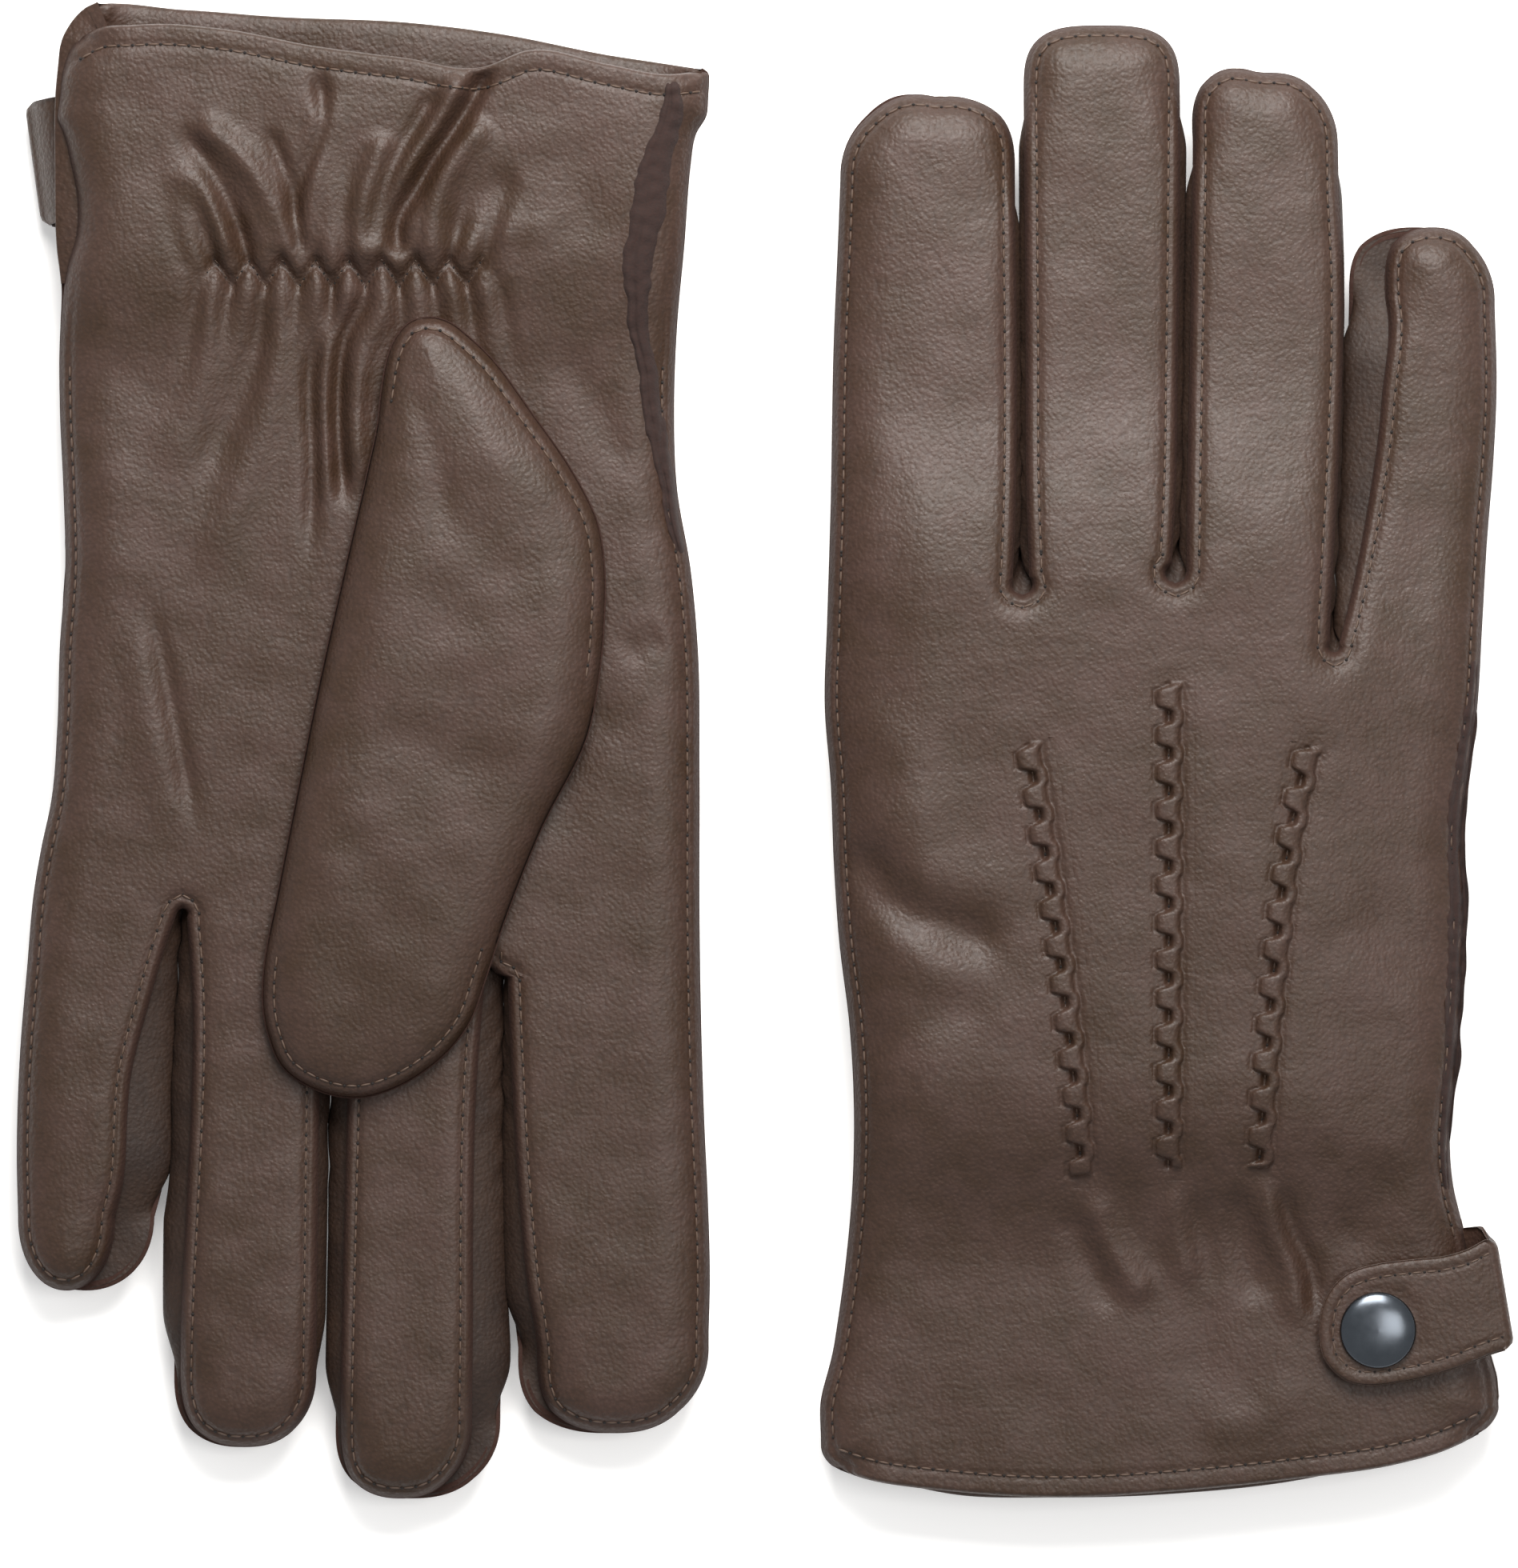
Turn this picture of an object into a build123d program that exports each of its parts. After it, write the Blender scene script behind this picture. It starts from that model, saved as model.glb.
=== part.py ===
"""A pair of men's lined leather dress gloves, lying flat side by side on a table.

The right glove lies palm down with its thumb folded under the palm. The left glove lies palm up,
fingers the other way, with its thumb folded over the palm. Each is cut from separate leather pieces:
a back and a palm panel, strips between the fingers (fourchettes), a folded thumb, a wrist elastic
and a cuff strap closed by a four-part snap. A fabric lining repeats the hollow inside.

Every glove is drawn in its own frame first: the cuff edge at y = 0, the fingertips towards +Y, the
little finger towards +X, the palm at z = 0 and the back at z = DEPTH. The left glove is that shape
inverted through a point, which both mirrors it and turns its palm up. Leather bends all over. The
fingers bend here at their middle knuckle, the thumb at its base seam and the strap at its side fold.
"""

from build123d import *
import os
from dataclasses import dataclass

# Leather, lining and the depth of a glove lying flat, in millimetres.
LEATHER = 0.9
LINING = 0.6
LINING_GAP = 0.7
THUMB_GAP = 0.2
DEPTH = 13.0
SEAM_GAP = 0.05
BEND_GAP = 0.15
HEM_WIDTH = 8.0

# Cuff, wrist and side lines of the outline.
CUFF_LEFT = (-56.5, 7.0)
CUFF_LOW = (-8.0, 0.0)
CUFF_RIGHT = (56.5, 15.0)
RADIAL_SIDE = ((-57.0, -20.0), (-51.0, 58.0), (-56.0, 128.0))
ULNAR_SIDE = ((55.5, -20.0), (49.3, 62.0), (53.0, 141.0))
CROTCHES = ((-24.1, 153.0), (4.2, 153.0), (30.3, 143.0))
STRIP_START = 128.0
VENT_TOP = 42.0
VENT_INSET = 47.5

# Thumb: the outline's corners with their rounding, its thickness and its hole in the palm.
THUMB_CORNERS = (
    ((-12.0, 50.0), 6.0),
    ((-36.0, 73.0), 24.0),
    ((-42.5, 107.0), 14.0),
    ((-19.0, 163.0), 12.0),
    ((-8.0, 179.5), 11.0),
    ((9.5, 179.5), 11.0),
    ((17.0, 164.0), 12.0),
    ((-5.0, 60.0), 6.0),
)
THUMB_THICK = 8.0
THUMB_CLEAR = 0.3
THUMB_TIP_Y = 158.0
THUMB_END_Y = 184.0
THUMB_TIP_THICK = 3.6
THUMB_HOLE_CENTRE = (-19.0, 88.0)
THUMB_HOLE_RADII = (9.5, 19.0)
THUMB_HOLE_TURN = 10.0
THUMB_AXIS_POINT = (-37.0, 73.0)
THUMB_AXIS_DIRECTION = (-0.342, 0.940)

# Strap and snap fastener: a 12.5 mm cap, which is the size sold as line 20.
STRAP_THICK = 1.3
STRAP_HALF_WIDTH = 9.0
STRAP_HINGE_X = 54.45
STRAP_OUTER_X = 57.8
STRAP_ROOT_X = 48.2
SNAP_CENTRE = (35.1, 28.2)
CAP_RADIUS = 6.25
CAP_RIM = 0.6
CAP_HEIGHT = 1.8
POST_RADIUS = 1.4
POST_HOLE_RADIUS = 1.45
SOCKET_RADIUS = 5.0
SOCKET_BORE = 2.4
STUD_RADIUS = 4.3
KNOB_RADIUS = 2.1
STUD_FLANGE = 0.4
KNOB_TOP = 1.5
SOCKET_LOW = 0.5
STRAP_LOW = 1.7
STRAP_TOP = STRAP_LOW + STRAP_THICK
SNAP_STACK = STRAP_TOP + CAP_HEIGHT
POST_FLANGE_RADIUS = 4.0
POST_FLANGE = 0.5

# Wrist elastic and the three lines of stitching on the back.
ELASTIC_X = (-21.0, 26.0)
ELASTIC_Y = (41.5, 47.5)
ELASTIC_THICK = 0.55
POINT_LINES = (((-22.0, 125.0), (-12.0, 51.5)), ((1.0, 134.0), (1.0, 53.5)), ((24.5, 124.5), (16.5, 53.5)))
POINT_WIDTH = 2.2
POINT_HEIGHT = 0.6

# How far each glove lies from the middle of the pair.
GLOVE_OFFSET = {"right": (65.9, -123.4), "left": (-65.9, 123.4)}


@dataclass(frozen=True)
class Finger:
    """One finger strip: its two side lines from the knuckles to the tip, and its bend line."""

    name: str
    base: tuple
    tip: tuple
    tip_y: float
    bend_y: float
    inner_sides: tuple


FINGERS = {
    "right": (
        Finger("index", (-56.0, -25.0), (-53.6, -25.4), 231.8, 179.9, (1,)),
        Finger("middle", (-23.2, 3.5), (-22.8, 3.2), 243.4, 181.0, (-1, 1)),
        Finger("ring", (4.9, 29.7), (5.3, 29.0), 236.4, 180.4, (-1, 1)),
        Finger("little", (31.0, 52.6), (31.4, 55.4), 210.2, 163.0, (-1,)),
    ),
    "left": (
        Finger("index", (-56.0, -24.9), (-57.0, -24.9), 236.2, 179.9, (1,)),
        Finger("middle", (-23.3, 3.5), (-23.4, 5.0), 246.8, 181.0, (-1, 1)),
        Finger("ring", (4.9, 29.7), (6.4, 32.1), 238.2, 180.4, (-1, 1)),
        Finger("little", (31.0, 53.4), (33.6, 57.4), 212.6, 163.0, (-1,)),
    ),
}
TIP_ROUNDING = 0.44

# Height of the flat glove's sheets above the palm plane, along the glove: the right glove is lifted
# by the thumb under it, and the left one by the strap and snap under its cuff.
HUMP = THUMB_THICK + THUMB_CLEAR
DROOP = 3.0
LEFT_CUFF = POINT_HEIGHT - SNAP_STACK
DRAPE = {
    "right": ((-40.0, 0.0), (42.0, 0.0), (64.0, HUMP), (158.0, HUMP), (184.0, DROOP), (262.0, 0.0)),
    "left": ((-40.0, LEFT_CUFF), (42.0, LEFT_CUFF), (60.0, 0.0), (262.0, 0.0)),
}
LITTLE_DRAPE = {
    "right": ((-40.0, 0.0), (42.0, 0.0), (64.0, HUMP), (142.0, HUMP), (167.0, DROOP), (262.0, 0.0)),
    "left": DRAPE["left"],
}
CUFF_LIFT = {"right": 0.0, "left": LEFT_CUFF}
THUMB_PLANE = {"right": HUMP, "left": 0.0}
FAR = 400.0


def rect(x0, y0, x1, y1):
    """A flat rectangle between two corners."""
    return Pos((x0 + x1) / 2, (y0 + y1) / 2) * Rectangle(x1 - x0, y1 - y0)


def slab(region, low, high):
    """The region raised between two heights."""
    return extrude(Pos(0, 0, low) * region, amount=high - low)


def profile(points, low, high):
    """A sheet across the whole glove that follows a drape line along y."""
    upper = [(y, z + high) for y, z in points]
    lower = [(y, z + low) for y, z in reversed(points)]
    face = make_face(Plane.YZ * Polyline(*upper, *lower, close=True))
    return Pos(-FAR / 4, 0, 0) * extrude(face, amount=FAR / 2, dir=(1, 0, 0))


def solids_of(shape, tiny=0.5):
    """The shape's solids as one compound, without slivers."""
    kept = [s for s in shape.solids() if s.volume > tiny]
    return kept[0] if len(kept) == 1 else Compound(children=kept)


class Glove:
    """One glove in its own frame, as a dictionary of named solids for each body that moves."""

    def __init__(self, side):
        self.side = side
        self.fingers = FINGERS[side]
        self.lift = CUFF_LIFT[side]
        self.extended = self.long_outline()
        self.outline = self.extended - self.below_cuff(0.0)
        self.inner = {d: offset(self.extended, -d, kind=Kind.INTERSECTION) for d in self.insets()}

    @staticmethod
    def insets():
        """The distances inside the outline where leather and lining walls start and end."""
        return (LEATHER, LEATHER + LINING_GAP, LEATHER + LINING_GAP + LINING)

    def strip(self, finger):
        """A finger's flat outline with its rounded tip."""
        (a, b), (c, d) = finger.base, finger.tip
        corners = [(a, STRIP_START), (b, STRIP_START), (d, finger.tip_y), (c, finger.tip_y)]
        face = make_face(Polyline(*corners, close=True))
        return fillet(face.vertices().sort_by(Axis.Y)[-2:], (d - c) * TIP_ROUNDING)

    def long_outline(self):
        """The whole hand outline, run on past the cuff edge so that an inset leaves the cuff open."""
        radial, ulnar = ThreePointArc(*RADIAL_SIDE), ThreePointArc(*ULNAR_SIDE)
        top = Polyline(RADIAL_SIDE[2], *CROTCHES, ULNAR_SIDE[2])
        palm = make_face([radial, top, ulnar, Line(ULNAR_SIDE[0], RADIAL_SIDE[0])])
        for finger in self.fingers:
            palm += self.strip(finger)
        return palm

    def below_cuff(self, rise):
        """Everything under the cuff's curved edge, raised by some millimetres."""
        edge = ThreePointArc(CUFF_LEFT, CUFF_LOW, CUFF_RIGHT)
        rest = Polyline(CUFF_RIGHT, (70, 20), (70, -40), (-70, -40), (-70, 6), CUFF_LEFT)
        return Pos(0, rise) * make_face([edge, rest])

    def beyond_bend(self, finger, gap, inset=0.0):
        """One finger's outline beyond its bend line, taken in by an inset at its sides and tip."""
        strip = self.strip(finger)
        if inset:
            strip = offset(strip, -inset, kind=Kind.INTERSECTION)
        return strip & rect(-FAR / 4, finger.bend_y + gap, FAR / 4, FAR)

    def hand_region(self, region):
        """The part of a region on the hand's side of every bend line."""
        for finger in self.fingers:
            region -= self.beyond_bend(finger, -BEND_GAP, -2 * BEND_GAP)
        return region

    def draped(self, region, low, high, drape=None):
        """The region as a sheet that follows the glove's drape, little finger apart."""
        tall = -FAR / 8, FAR / 8
        if drape:
            return slab(region, *tall) & profile(drape, low, high)
        box = rect(CROTCHES[2][0], CROTCHES[2][1], 70.0, 260.0)
        main = slab(region - box, *tall) & profile(DRAPE[self.side], low, high)
        little = region & box
        if not little.faces():
            return main
        return main + (slab(little, *tall) & profile(LITTLE_DRAPE[self.side], low, high))

    def finger_parts(self, finger):
        """Back and palm strips, the fourchettes between the fingers, and the lining of one finger."""
        region = self.beyond_bend(finger, BEND_GAP)
        ring = region - self.beyond_bend(finger, BEND_GAP, LEATHER)
        middle = (finger.tip[0] + finger.tip[1]) / 2
        straight = finger.tip_y - (finger.tip[1] - finger.tip[0]) * TIP_ROUNDING
        walls = None
        for inner_side in finger.inner_sides:
            edge = middle + 40 * inner_side
            half = rect(min(middle, edge), 0, max(middle, edge), straight)
            walls = half if walls is None else walls + half
        rim = ring - walls
        half_depth = DEPTH / 2
        cloth_low, cloth_in = self.insets()[1:]
        drape = (LITTLE_DRAPE if finger.name == "little" else DRAPE)[self.side]
        back = self.draped(region, DEPTH - LEATHER, DEPTH, drape)
        back += self.draped(rim, half_depth + SEAM_GAP, DEPTH - LEATHER, drape)
        palm = self.draped(region, 0, LEATHER, drape)
        palm += self.draped(rim, LEATHER, half_depth - SEAM_GAP, drape)
        sides = self.draped(ring & walls, LEATHER + SEAM_GAP, DEPTH - LEATHER - SEAM_GAP, drape)
        outer, inner = (self.beyond_bend(finger, BEND_GAP, d) for d in (cloth_low, cloth_in))
        lining = self.draped(outer, cloth_low, DEPTH - cloth_low, drape)
        lining -= self.draped(inner, cloth_in, DEPTH - cloth_in, drape)
        prefix = finger.name
        return {
            f"{prefix}_back": back,
            f"{prefix}_palm": palm,
            f"{prefix}_fourchette": sides,
            f"{prefix}_lining": lining,
        }

    def slit_boxes(self):
        """Boxes around the three slits between the fingers."""
        boxes = None
        for x, y in CROTCHES:
            box = rect(x - 6, y - 3, x + 6, 260)
            boxes = box if boxes is None else boxes + box
        return boxes

    def thumb_hole(self):
        """The oval through the palm into the thumb."""
        centre = Pos(*THUMB_HOLE_CENTRE) * Rot(0, 0, THUMB_HOLE_TURN)
        return slab(centre * Ellipse(*THUMB_HOLE_RADII), -FAR / 8, DEPTH / 2)

    def panels(self):
        """Back and palm panels with their hems, and the fourchettes' lower ends at the crotches."""
        region = self.hand_region(self.outline)
        ring = region - self.inner[LEATHER]
        slits = self.slit_boxes()
        vent = rect(40, -40, 70, VENT_TOP)
        rim = ring - slits - vent
        hem = region & self.below_cuff(HEM_WIDTH)
        half_depth = DEPTH / 2
        back = self.draped(region, DEPTH - LEATHER, DEPTH)
        back += self.draped(rim, half_depth + SEAM_GAP, DEPTH - LEATHER)
        back += self.draped(hem, DEPTH - 2 * LEATHER, DEPTH - LEATHER)
        hole = slab(Pos(*SNAP_CENTRE) * Circle(POST_HOLE_RADIUS), -FAR / 8, FAR / 8)
        palm = self.draped(region, 0, LEATHER) + self.draped(rim, LEATHER, half_depth - SEAM_GAP)
        palm += self.draped(hem, LEATHER, 2 * LEATHER)
        gussets = self.draped(ring & slits, LEATHER + SEAM_GAP, DEPTH - LEATHER - SEAM_GAP)
        return {
            "back_panel": back - hole,
            "palm_panel": palm - self.thumb_hole(),
            "crotch_gussets": gussets,
        }

    def hand_lining(self):
        """The lining of the hand, open at the cuff, the bend lines and the thumb."""
        start = self.below_cuff(HEM_WIDTH + 1.0)
        vent = rect(VENT_INSET, -40, 70, VENT_TOP + 2)
        vent_inside = rect(VENT_INSET - LINING, -40, 70, VENT_TOP + 2 + LINING)
        cloth_low, cloth_in = self.insets()[1:]
        outer = self.hand_region(self.inner[cloth_low]) - start - vent
        inner = self.hand_region(self.inner[cloth_in]) - start - vent_inside
        sleeve = self.draped(outer, cloth_low, DEPTH - cloth_low)
        sleeve -= self.draped(inner, cloth_in, DEPTH - cloth_in)
        return sleeve - self.thumb_hole()

    def snap_on_back(self):
        """The stud outside the back panel and the post that rivets it from inside."""
        z = DEPTH + self.lift
        at = Pos(*SNAP_CENTRE)
        stud = slab(at * Circle(STUD_RADIUS), z, z + STUD_FLANGE)
        stud += slab(at * Circle(KNOB_RADIUS), z, z + KNOB_TOP)
        stud -= slab(at * Circle(POST_HOLE_RADIUS), z, z + KNOB_TOP)
        low = z - LEATHER
        post = slab(at * Circle(POST_FLANGE_RADIUS), low - POST_FLANGE, low)
        post += slab(at * Circle(POST_RADIUS), low, z + KNOB_TOP - STUD_FLANGE)
        return {"snap_stud": stud, "snap_post": post}

    def strap_root(self):
        """The strap's fixed end: sewn in at the palm side of the vent and folded round the side."""
        z = self.lift
        y0, y1 = SNAP_CENTRE[1] - STRAP_HALF_WIDTH, SNAP_CENTRE[1] + STRAP_HALF_WIDTH
        low = z + 2 * LEATHER + SEAM_GAP
        high = z + DEPTH + STRAP_TOP
        inside = rect(STRAP_ROOT_X, y0, STRAP_OUTER_X, y1)
        side = rect(STRAP_OUTER_X - STRAP_THICK, y0, STRAP_OUTER_X, y1)
        over = rect(STRAP_HINGE_X + BEND_GAP, y0, STRAP_OUTER_X, y1)
        inner = slab(inside, low, low + STRAP_THICK) + slab(side, low, high)
        return inner + slab(over, high - STRAP_THICK, high)

    def strap_parts(self):
        """The tab that opens, with the snap's cap above it and its socket below."""
        z = self.lift + DEPTH
        x, y = SNAP_CENTRE
        at = Pos(x, y)
        end = STRAP_HINGE_X - BEND_GAP
        tab = at * Circle(STRAP_HALF_WIDTH) + rect(x, y - STRAP_HALF_WIDTH, end, y + STRAP_HALF_WIDTH)
        tab = slab(tab, z + STRAP_LOW, z + STRAP_TOP)
        tab -= slab(at * Circle(POST_HOLE_RADIUS), z, z + SNAP_STACK)
        cap = slab(at * Circle(CAP_RADIUS), z + STRAP_TOP, z + SNAP_STACK)
        cap = fillet(cap.edges().group_by(Axis.Z)[-1], CAP_HEIGHT - CAP_RIM)
        cap += slab(at * Circle(POST_RADIUS), z + STRAP_LOW, z + STRAP_TOP)
        socket = slab(at * Circle(SOCKET_RADIUS), z + SOCKET_LOW, z + STRAP_LOW)
        socket -= slab(at * Circle(SOCKET_BORE), z + SOCKET_LOW, z + STRAP_LOW)
        return {"strap_tab": tab, "snap_cap": cap, "snap_socket": socket}

    def trims(self):
        """The wrist elastic inside the palm and the stitched points on the back."""
        band = rect(ELASTIC_X[0], ELASTIC_Y[0], ELASTIC_X[1], ELASTIC_Y[1])
        elastic = self.draped(band, LEATHER + SEAM_GAP, LEATHER + SEAM_GAP + ELASTIC_THICK)
        points = None
        for (x0, y0), (x1, y1) in POINT_LINES:
            line = make_face(Polyline(
                (x0 - POINT_WIDTH / 2, y0), (x0 + POINT_WIDTH / 2, y0),
                (x1 + POINT_WIDTH / 2, y1), (x1 - POINT_WIDTH / 2, y1), close=True))
            points = line if points is None else points + line
        ridges = self.draped(points, DEPTH + 0.02, DEPTH + POINT_HEIGHT)
        return {"wrist_elastic": elastic, "point_stitching": ridges}

    def thumb_outline(self):
        """The thumb's flat outline with rounded corners."""
        face = make_face(Polyline(*[c for c, _ in THUMB_CORNERS], close=True))
        for (x, y), radius in THUMB_CORNERS:
            corner = min(face.vertices(), key=lambda v: (v.X - x) ** 2 + (v.Y - y) ** 2)
            face = fillet([corner], radius)
        return face

    def thumb_pouch(self, outline, inset):
        """The thumb's solid between its two faces, taken in by an inset on every side."""
        region = offset(outline, -inset) if inset else outline
        near = profile(DRAPE[self.side], -FAR / 8, -THUMB_CLEAR - inset)
        if self.side == "right":
            far = profile(((-40.0, inset), (260.0, inset)), -FAR / 4, 0.0)
        else:
            wide, thin = (inset - THUMB_CLEAR - t for t in (THUMB_THICK, THUMB_TIP_THICK))
            line = ((-40.0, wide), (THUMB_TIP_Y, wide), (THUMB_END_Y, thin), (260.0, thin))
            far = profile(line, -FAR / 4, 0.0)
        return (slab(region, -FAR / 8, FAR / 8) & near) - far

    def thumb_parts(self):
        """The folded thumb leather and its lining, both open towards the hole in the palm."""
        outline = self.thumb_outline()
        cloth = LEATHER + THUMB_GAP
        shell = self.thumb_pouch(outline, 0.0) - self.thumb_pouch(outline, LEATHER)
        lining = self.thumb_pouch(outline, cloth) - self.thumb_pouch(outline, cloth + LINING)
        plane = THUMB_PLANE[self.side]
        centre = Pos(*THUMB_HOLE_CENTRE) * Rot(0, 0, THUMB_HOLE_TURN)
        hole = slab(centre * Ellipse(*THUMB_HOLE_RADII), plane - THUMB_THICK / 2, plane + 1.0)
        return {"thumb_leather": shell - hole, "thumb_lining": lining - hole}

    def bodies(self):
        """Every named solid, grouped by the body that it moves with."""
        hand = {**self.panels(), "hand_lining": self.hand_lining(), **self.snap_on_back(),
                "strap_root": self.strap_root(), **self.trims()}
        groups = {"hand": hand, "thumb": self.thumb_parts(), "strap": self.strap_parts()}
        for finger in self.fingers:
            groups[finger.name] = self.finger_parts(finger)
        return groups


def place(side, shape):
    """Moves a shape from its glove's own frame to the pair's frame."""
    if side == "left":
        for plane in (Plane.XY, Plane.XZ, Plane.YZ):
            shape = mirror(shape, about=plane)
        shape = Pos(0, 0, DEPTH + POINT_HEIGHT) * shape
    return Pos(*GLOVE_OFFSET[side], 0) * shape


def main():
    """Builds both gloves and writes one file for each named solid."""
    os.makedirs("parts", exist_ok=True)
    for side in ("left", "right"):
        for parts in Glove(side).bodies().values():
            for name, shape in parts.items():
                export_step(place(side, solids_of(shape)), f"parts/{side}_{name}.step")


if __name__ == "__main__":
    main()
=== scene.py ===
"""A pair of men's brown lined leather gloves lying flat: the right one palm down, the left one palm up.

Each glove is drawn in its own frame, in millimetres: the cuff edge near y = 0, the fingertips
towards +Y, the little finger towards +X, the palm's outside at z = 0 and the back's at z = DEPTH.
The left glove is that shape inverted through a point, which mirrors it and turns its palm up.
"""

from __future__ import annotations

import logging
import math
from dataclasses import dataclass, field
from enum import Enum

import bpy
import numpy as np
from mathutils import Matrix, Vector


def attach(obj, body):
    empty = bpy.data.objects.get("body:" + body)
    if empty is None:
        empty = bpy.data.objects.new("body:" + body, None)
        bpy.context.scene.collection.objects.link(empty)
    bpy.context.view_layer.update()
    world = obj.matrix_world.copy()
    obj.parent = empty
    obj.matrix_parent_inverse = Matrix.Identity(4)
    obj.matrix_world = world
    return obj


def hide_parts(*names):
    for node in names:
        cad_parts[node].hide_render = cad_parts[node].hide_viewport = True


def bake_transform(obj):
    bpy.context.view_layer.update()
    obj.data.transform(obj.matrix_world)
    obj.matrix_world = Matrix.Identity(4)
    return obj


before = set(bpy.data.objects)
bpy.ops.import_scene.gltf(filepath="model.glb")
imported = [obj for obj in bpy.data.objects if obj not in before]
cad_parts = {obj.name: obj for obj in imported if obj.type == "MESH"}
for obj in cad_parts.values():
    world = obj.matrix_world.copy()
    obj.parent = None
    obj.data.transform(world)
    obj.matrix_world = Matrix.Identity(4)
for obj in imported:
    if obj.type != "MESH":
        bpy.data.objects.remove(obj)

LOG = logging.getLogger("gloves")
MM = 0.001
DEPTH = 13.0
LEATHER = 0.9
SIDE_EDGE = 0.55
MERGE = 0.002
HEM_IN = 3.4
SPLIT_Y = 157.0
STITCH_IN = 1.9
STITCH_PITCH = 2.3
HUMP = 8.3
LEFT_CUFF = -4.2
SNAP_CENTRE = (35.1, 28.2)
THUMB_AXIS_POINT = (-37.0, 73.0)
THUMB_AXIS_DIRECTION = (-0.342, 0.940)
STEP = 0.7

Curve = tuple[tuple[float, float], ...]


class Side(Enum):
    """Which hand a glove is for, with its place in the pair: x and y offset, sign and floor height."""

    RIGHT = ("right", 65.9, -123.4, 1.0, 0.0)
    LEFT = ("left", -65.9, 123.4, -1.0, DEPTH + 0.6)

    @property
    def word(self) -> str:
        """The side's name, which starts each of its bodies' and nodes' names."""
        return self.value[0]

    def to_world(self, points: np.ndarray) -> np.ndarray:
        """Moves points from the glove's frame in millimetres to the pair's frame in metres.

        Args:
            points: An array of points, one per row.

        Returns:
            The moved points.
        """
        _, x, y, sign, z = self.value
        return (np.asarray(points, float) * sign + (x, y, z)) * MM


class Face(Enum):
    """The two faces of a glove. The value is the way outwards along z."""

    BACK = 1.0
    PALM = -1.0


def smooth(low: float, high: float, at: np.ndarray) -> np.ndarray:
    """A smooth step from 0 at low to 1 at high."""
    t = np.clip((np.asarray(at, float) - low) / (high - low), 0.0, 1.0)
    return t * t * (3.0 - 2.0 * t)


def spline(points: Curve, at: np.ndarray) -> np.ndarray:
    """A smooth curve through points.

    Args:
        points: The curve's points as (place, value), in order of place.
        at: The places to read it at. Past its ends it keeps its end values.

    Returns:
        The values.
    """
    at = np.asarray(at, float)
    if len(points) == 1:
        return np.full_like(at, points[0][1])
    p, v = np.array(points, float).T
    slope = np.gradient(v, p)
    i = np.clip(np.searchsorted(p, at) - 1, 0, len(p) - 2)
    h = p[i + 1] - p[i]
    t = np.clip((at - p[i]) / h, 0.0, 1.0)
    a, b = v[i], v[i + 1]
    return (
        a * (1 + 2 * t) * (1 - t) ** 2
        + slope[i] * h * t * (1 - t) ** 2
        + b * t * t * (3 - 2 * t)
        + slope[i + 1] * h * t * t * (t - 1)
    )


def soft_noise(x: np.ndarray, y: np.ndarray, size: float, seed: int) -> np.ndarray:
    """Smooth bumps of about one size, between -1 and 1.

    Args:
        x: Places across.
        y: Places along.
        size: The distance from one bump to the next.
        seed: Chooses the pattern.

    Returns:
        The bumps' heights.
    """
    rng = np.random.default_rng(seed)
    total = np.zeros_like(x, float)
    for _ in range(9):
        turn, phase = rng.uniform(0, 2 * math.pi, 2)
        k = 2 * math.pi / size * rng.uniform(0.6, 1.5)
        total += np.sin(k * (x * math.cos(turn) + y * math.sin(turn)) + phase)
    return total / 4.5


def normals_2d(path: np.ndarray) -> np.ndarray:
    """Unit normals to the left of a path's direction.

    Args:
        path: Points (x, y) along a line.

    Returns:
        Unit vectors (x, y), one for each point.
    """
    t = np.gradient(path, axis=0)
    t /= np.maximum(np.linalg.norm(t, axis=1, keepdims=True), 1e-9)
    return np.stack([-t[:, 1], t[:, 0]], axis=1)


@dataclass(frozen=True)
class Fold:
    """A soft ridge or crease in the leather: its path, width and height at its strongest."""

    path: Curve
    width: float
    height: float
    fade: float = 0.25

    def lift(self, xy: np.ndarray) -> np.ndarray:
        """The fold's height at each point.

        Args:
            xy: Points of the sheet.

        Returns:
            Heights outwards, negative in a crease.
        """
        pts = np.array(self.path, float)
        if len(pts) > 2:
            t = np.linspace(0, len(pts) - 1, 6 * len(pts))
            keys = np.arange(len(pts))
            pts = np.stack([spline(tuple(zip(keys, pts[:, c])), t) for c in (0, 1)], axis=1)
        run = np.concatenate([[0], np.cumsum(np.linalg.norm(np.diff(pts, axis=0), axis=1))])
        best = np.full(len(xy), 1e9)
        along = np.zeros(len(xy))
        for i in range(len(pts) - 1):
            a, b = pts[i], pts[i + 1]
            u = np.clip((xy - a) @ (b - a) / max((b - a) @ (b - a), 1e-9), 0, 1)
            d = np.linalg.norm(xy - a - u[:, None] * (b - a), axis=1)
            near = d < best
            best = np.where(near, d, best)
            along = np.where(near, run[i] + u * (run[i + 1] - run[i]), along)
        s = along / run[-1]
        ends = smooth(0, self.fade, s) * smooth(0, self.fade, 1 - s)
        return self.height * ends * np.exp(-((best / self.width) ** 2))


@dataclass(frozen=True)
class Crotch:
    """The lower end of a slit between two fingers, on the back and on the palm."""

    back: tuple[float, float]
    palm: tuple[float, float]
    bulb: float = 1.8

    def at(self, face: Face) -> tuple[float, float]:
        """Its point on one face."""
        return self.back if face is Face.BACK else self.palm


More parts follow.
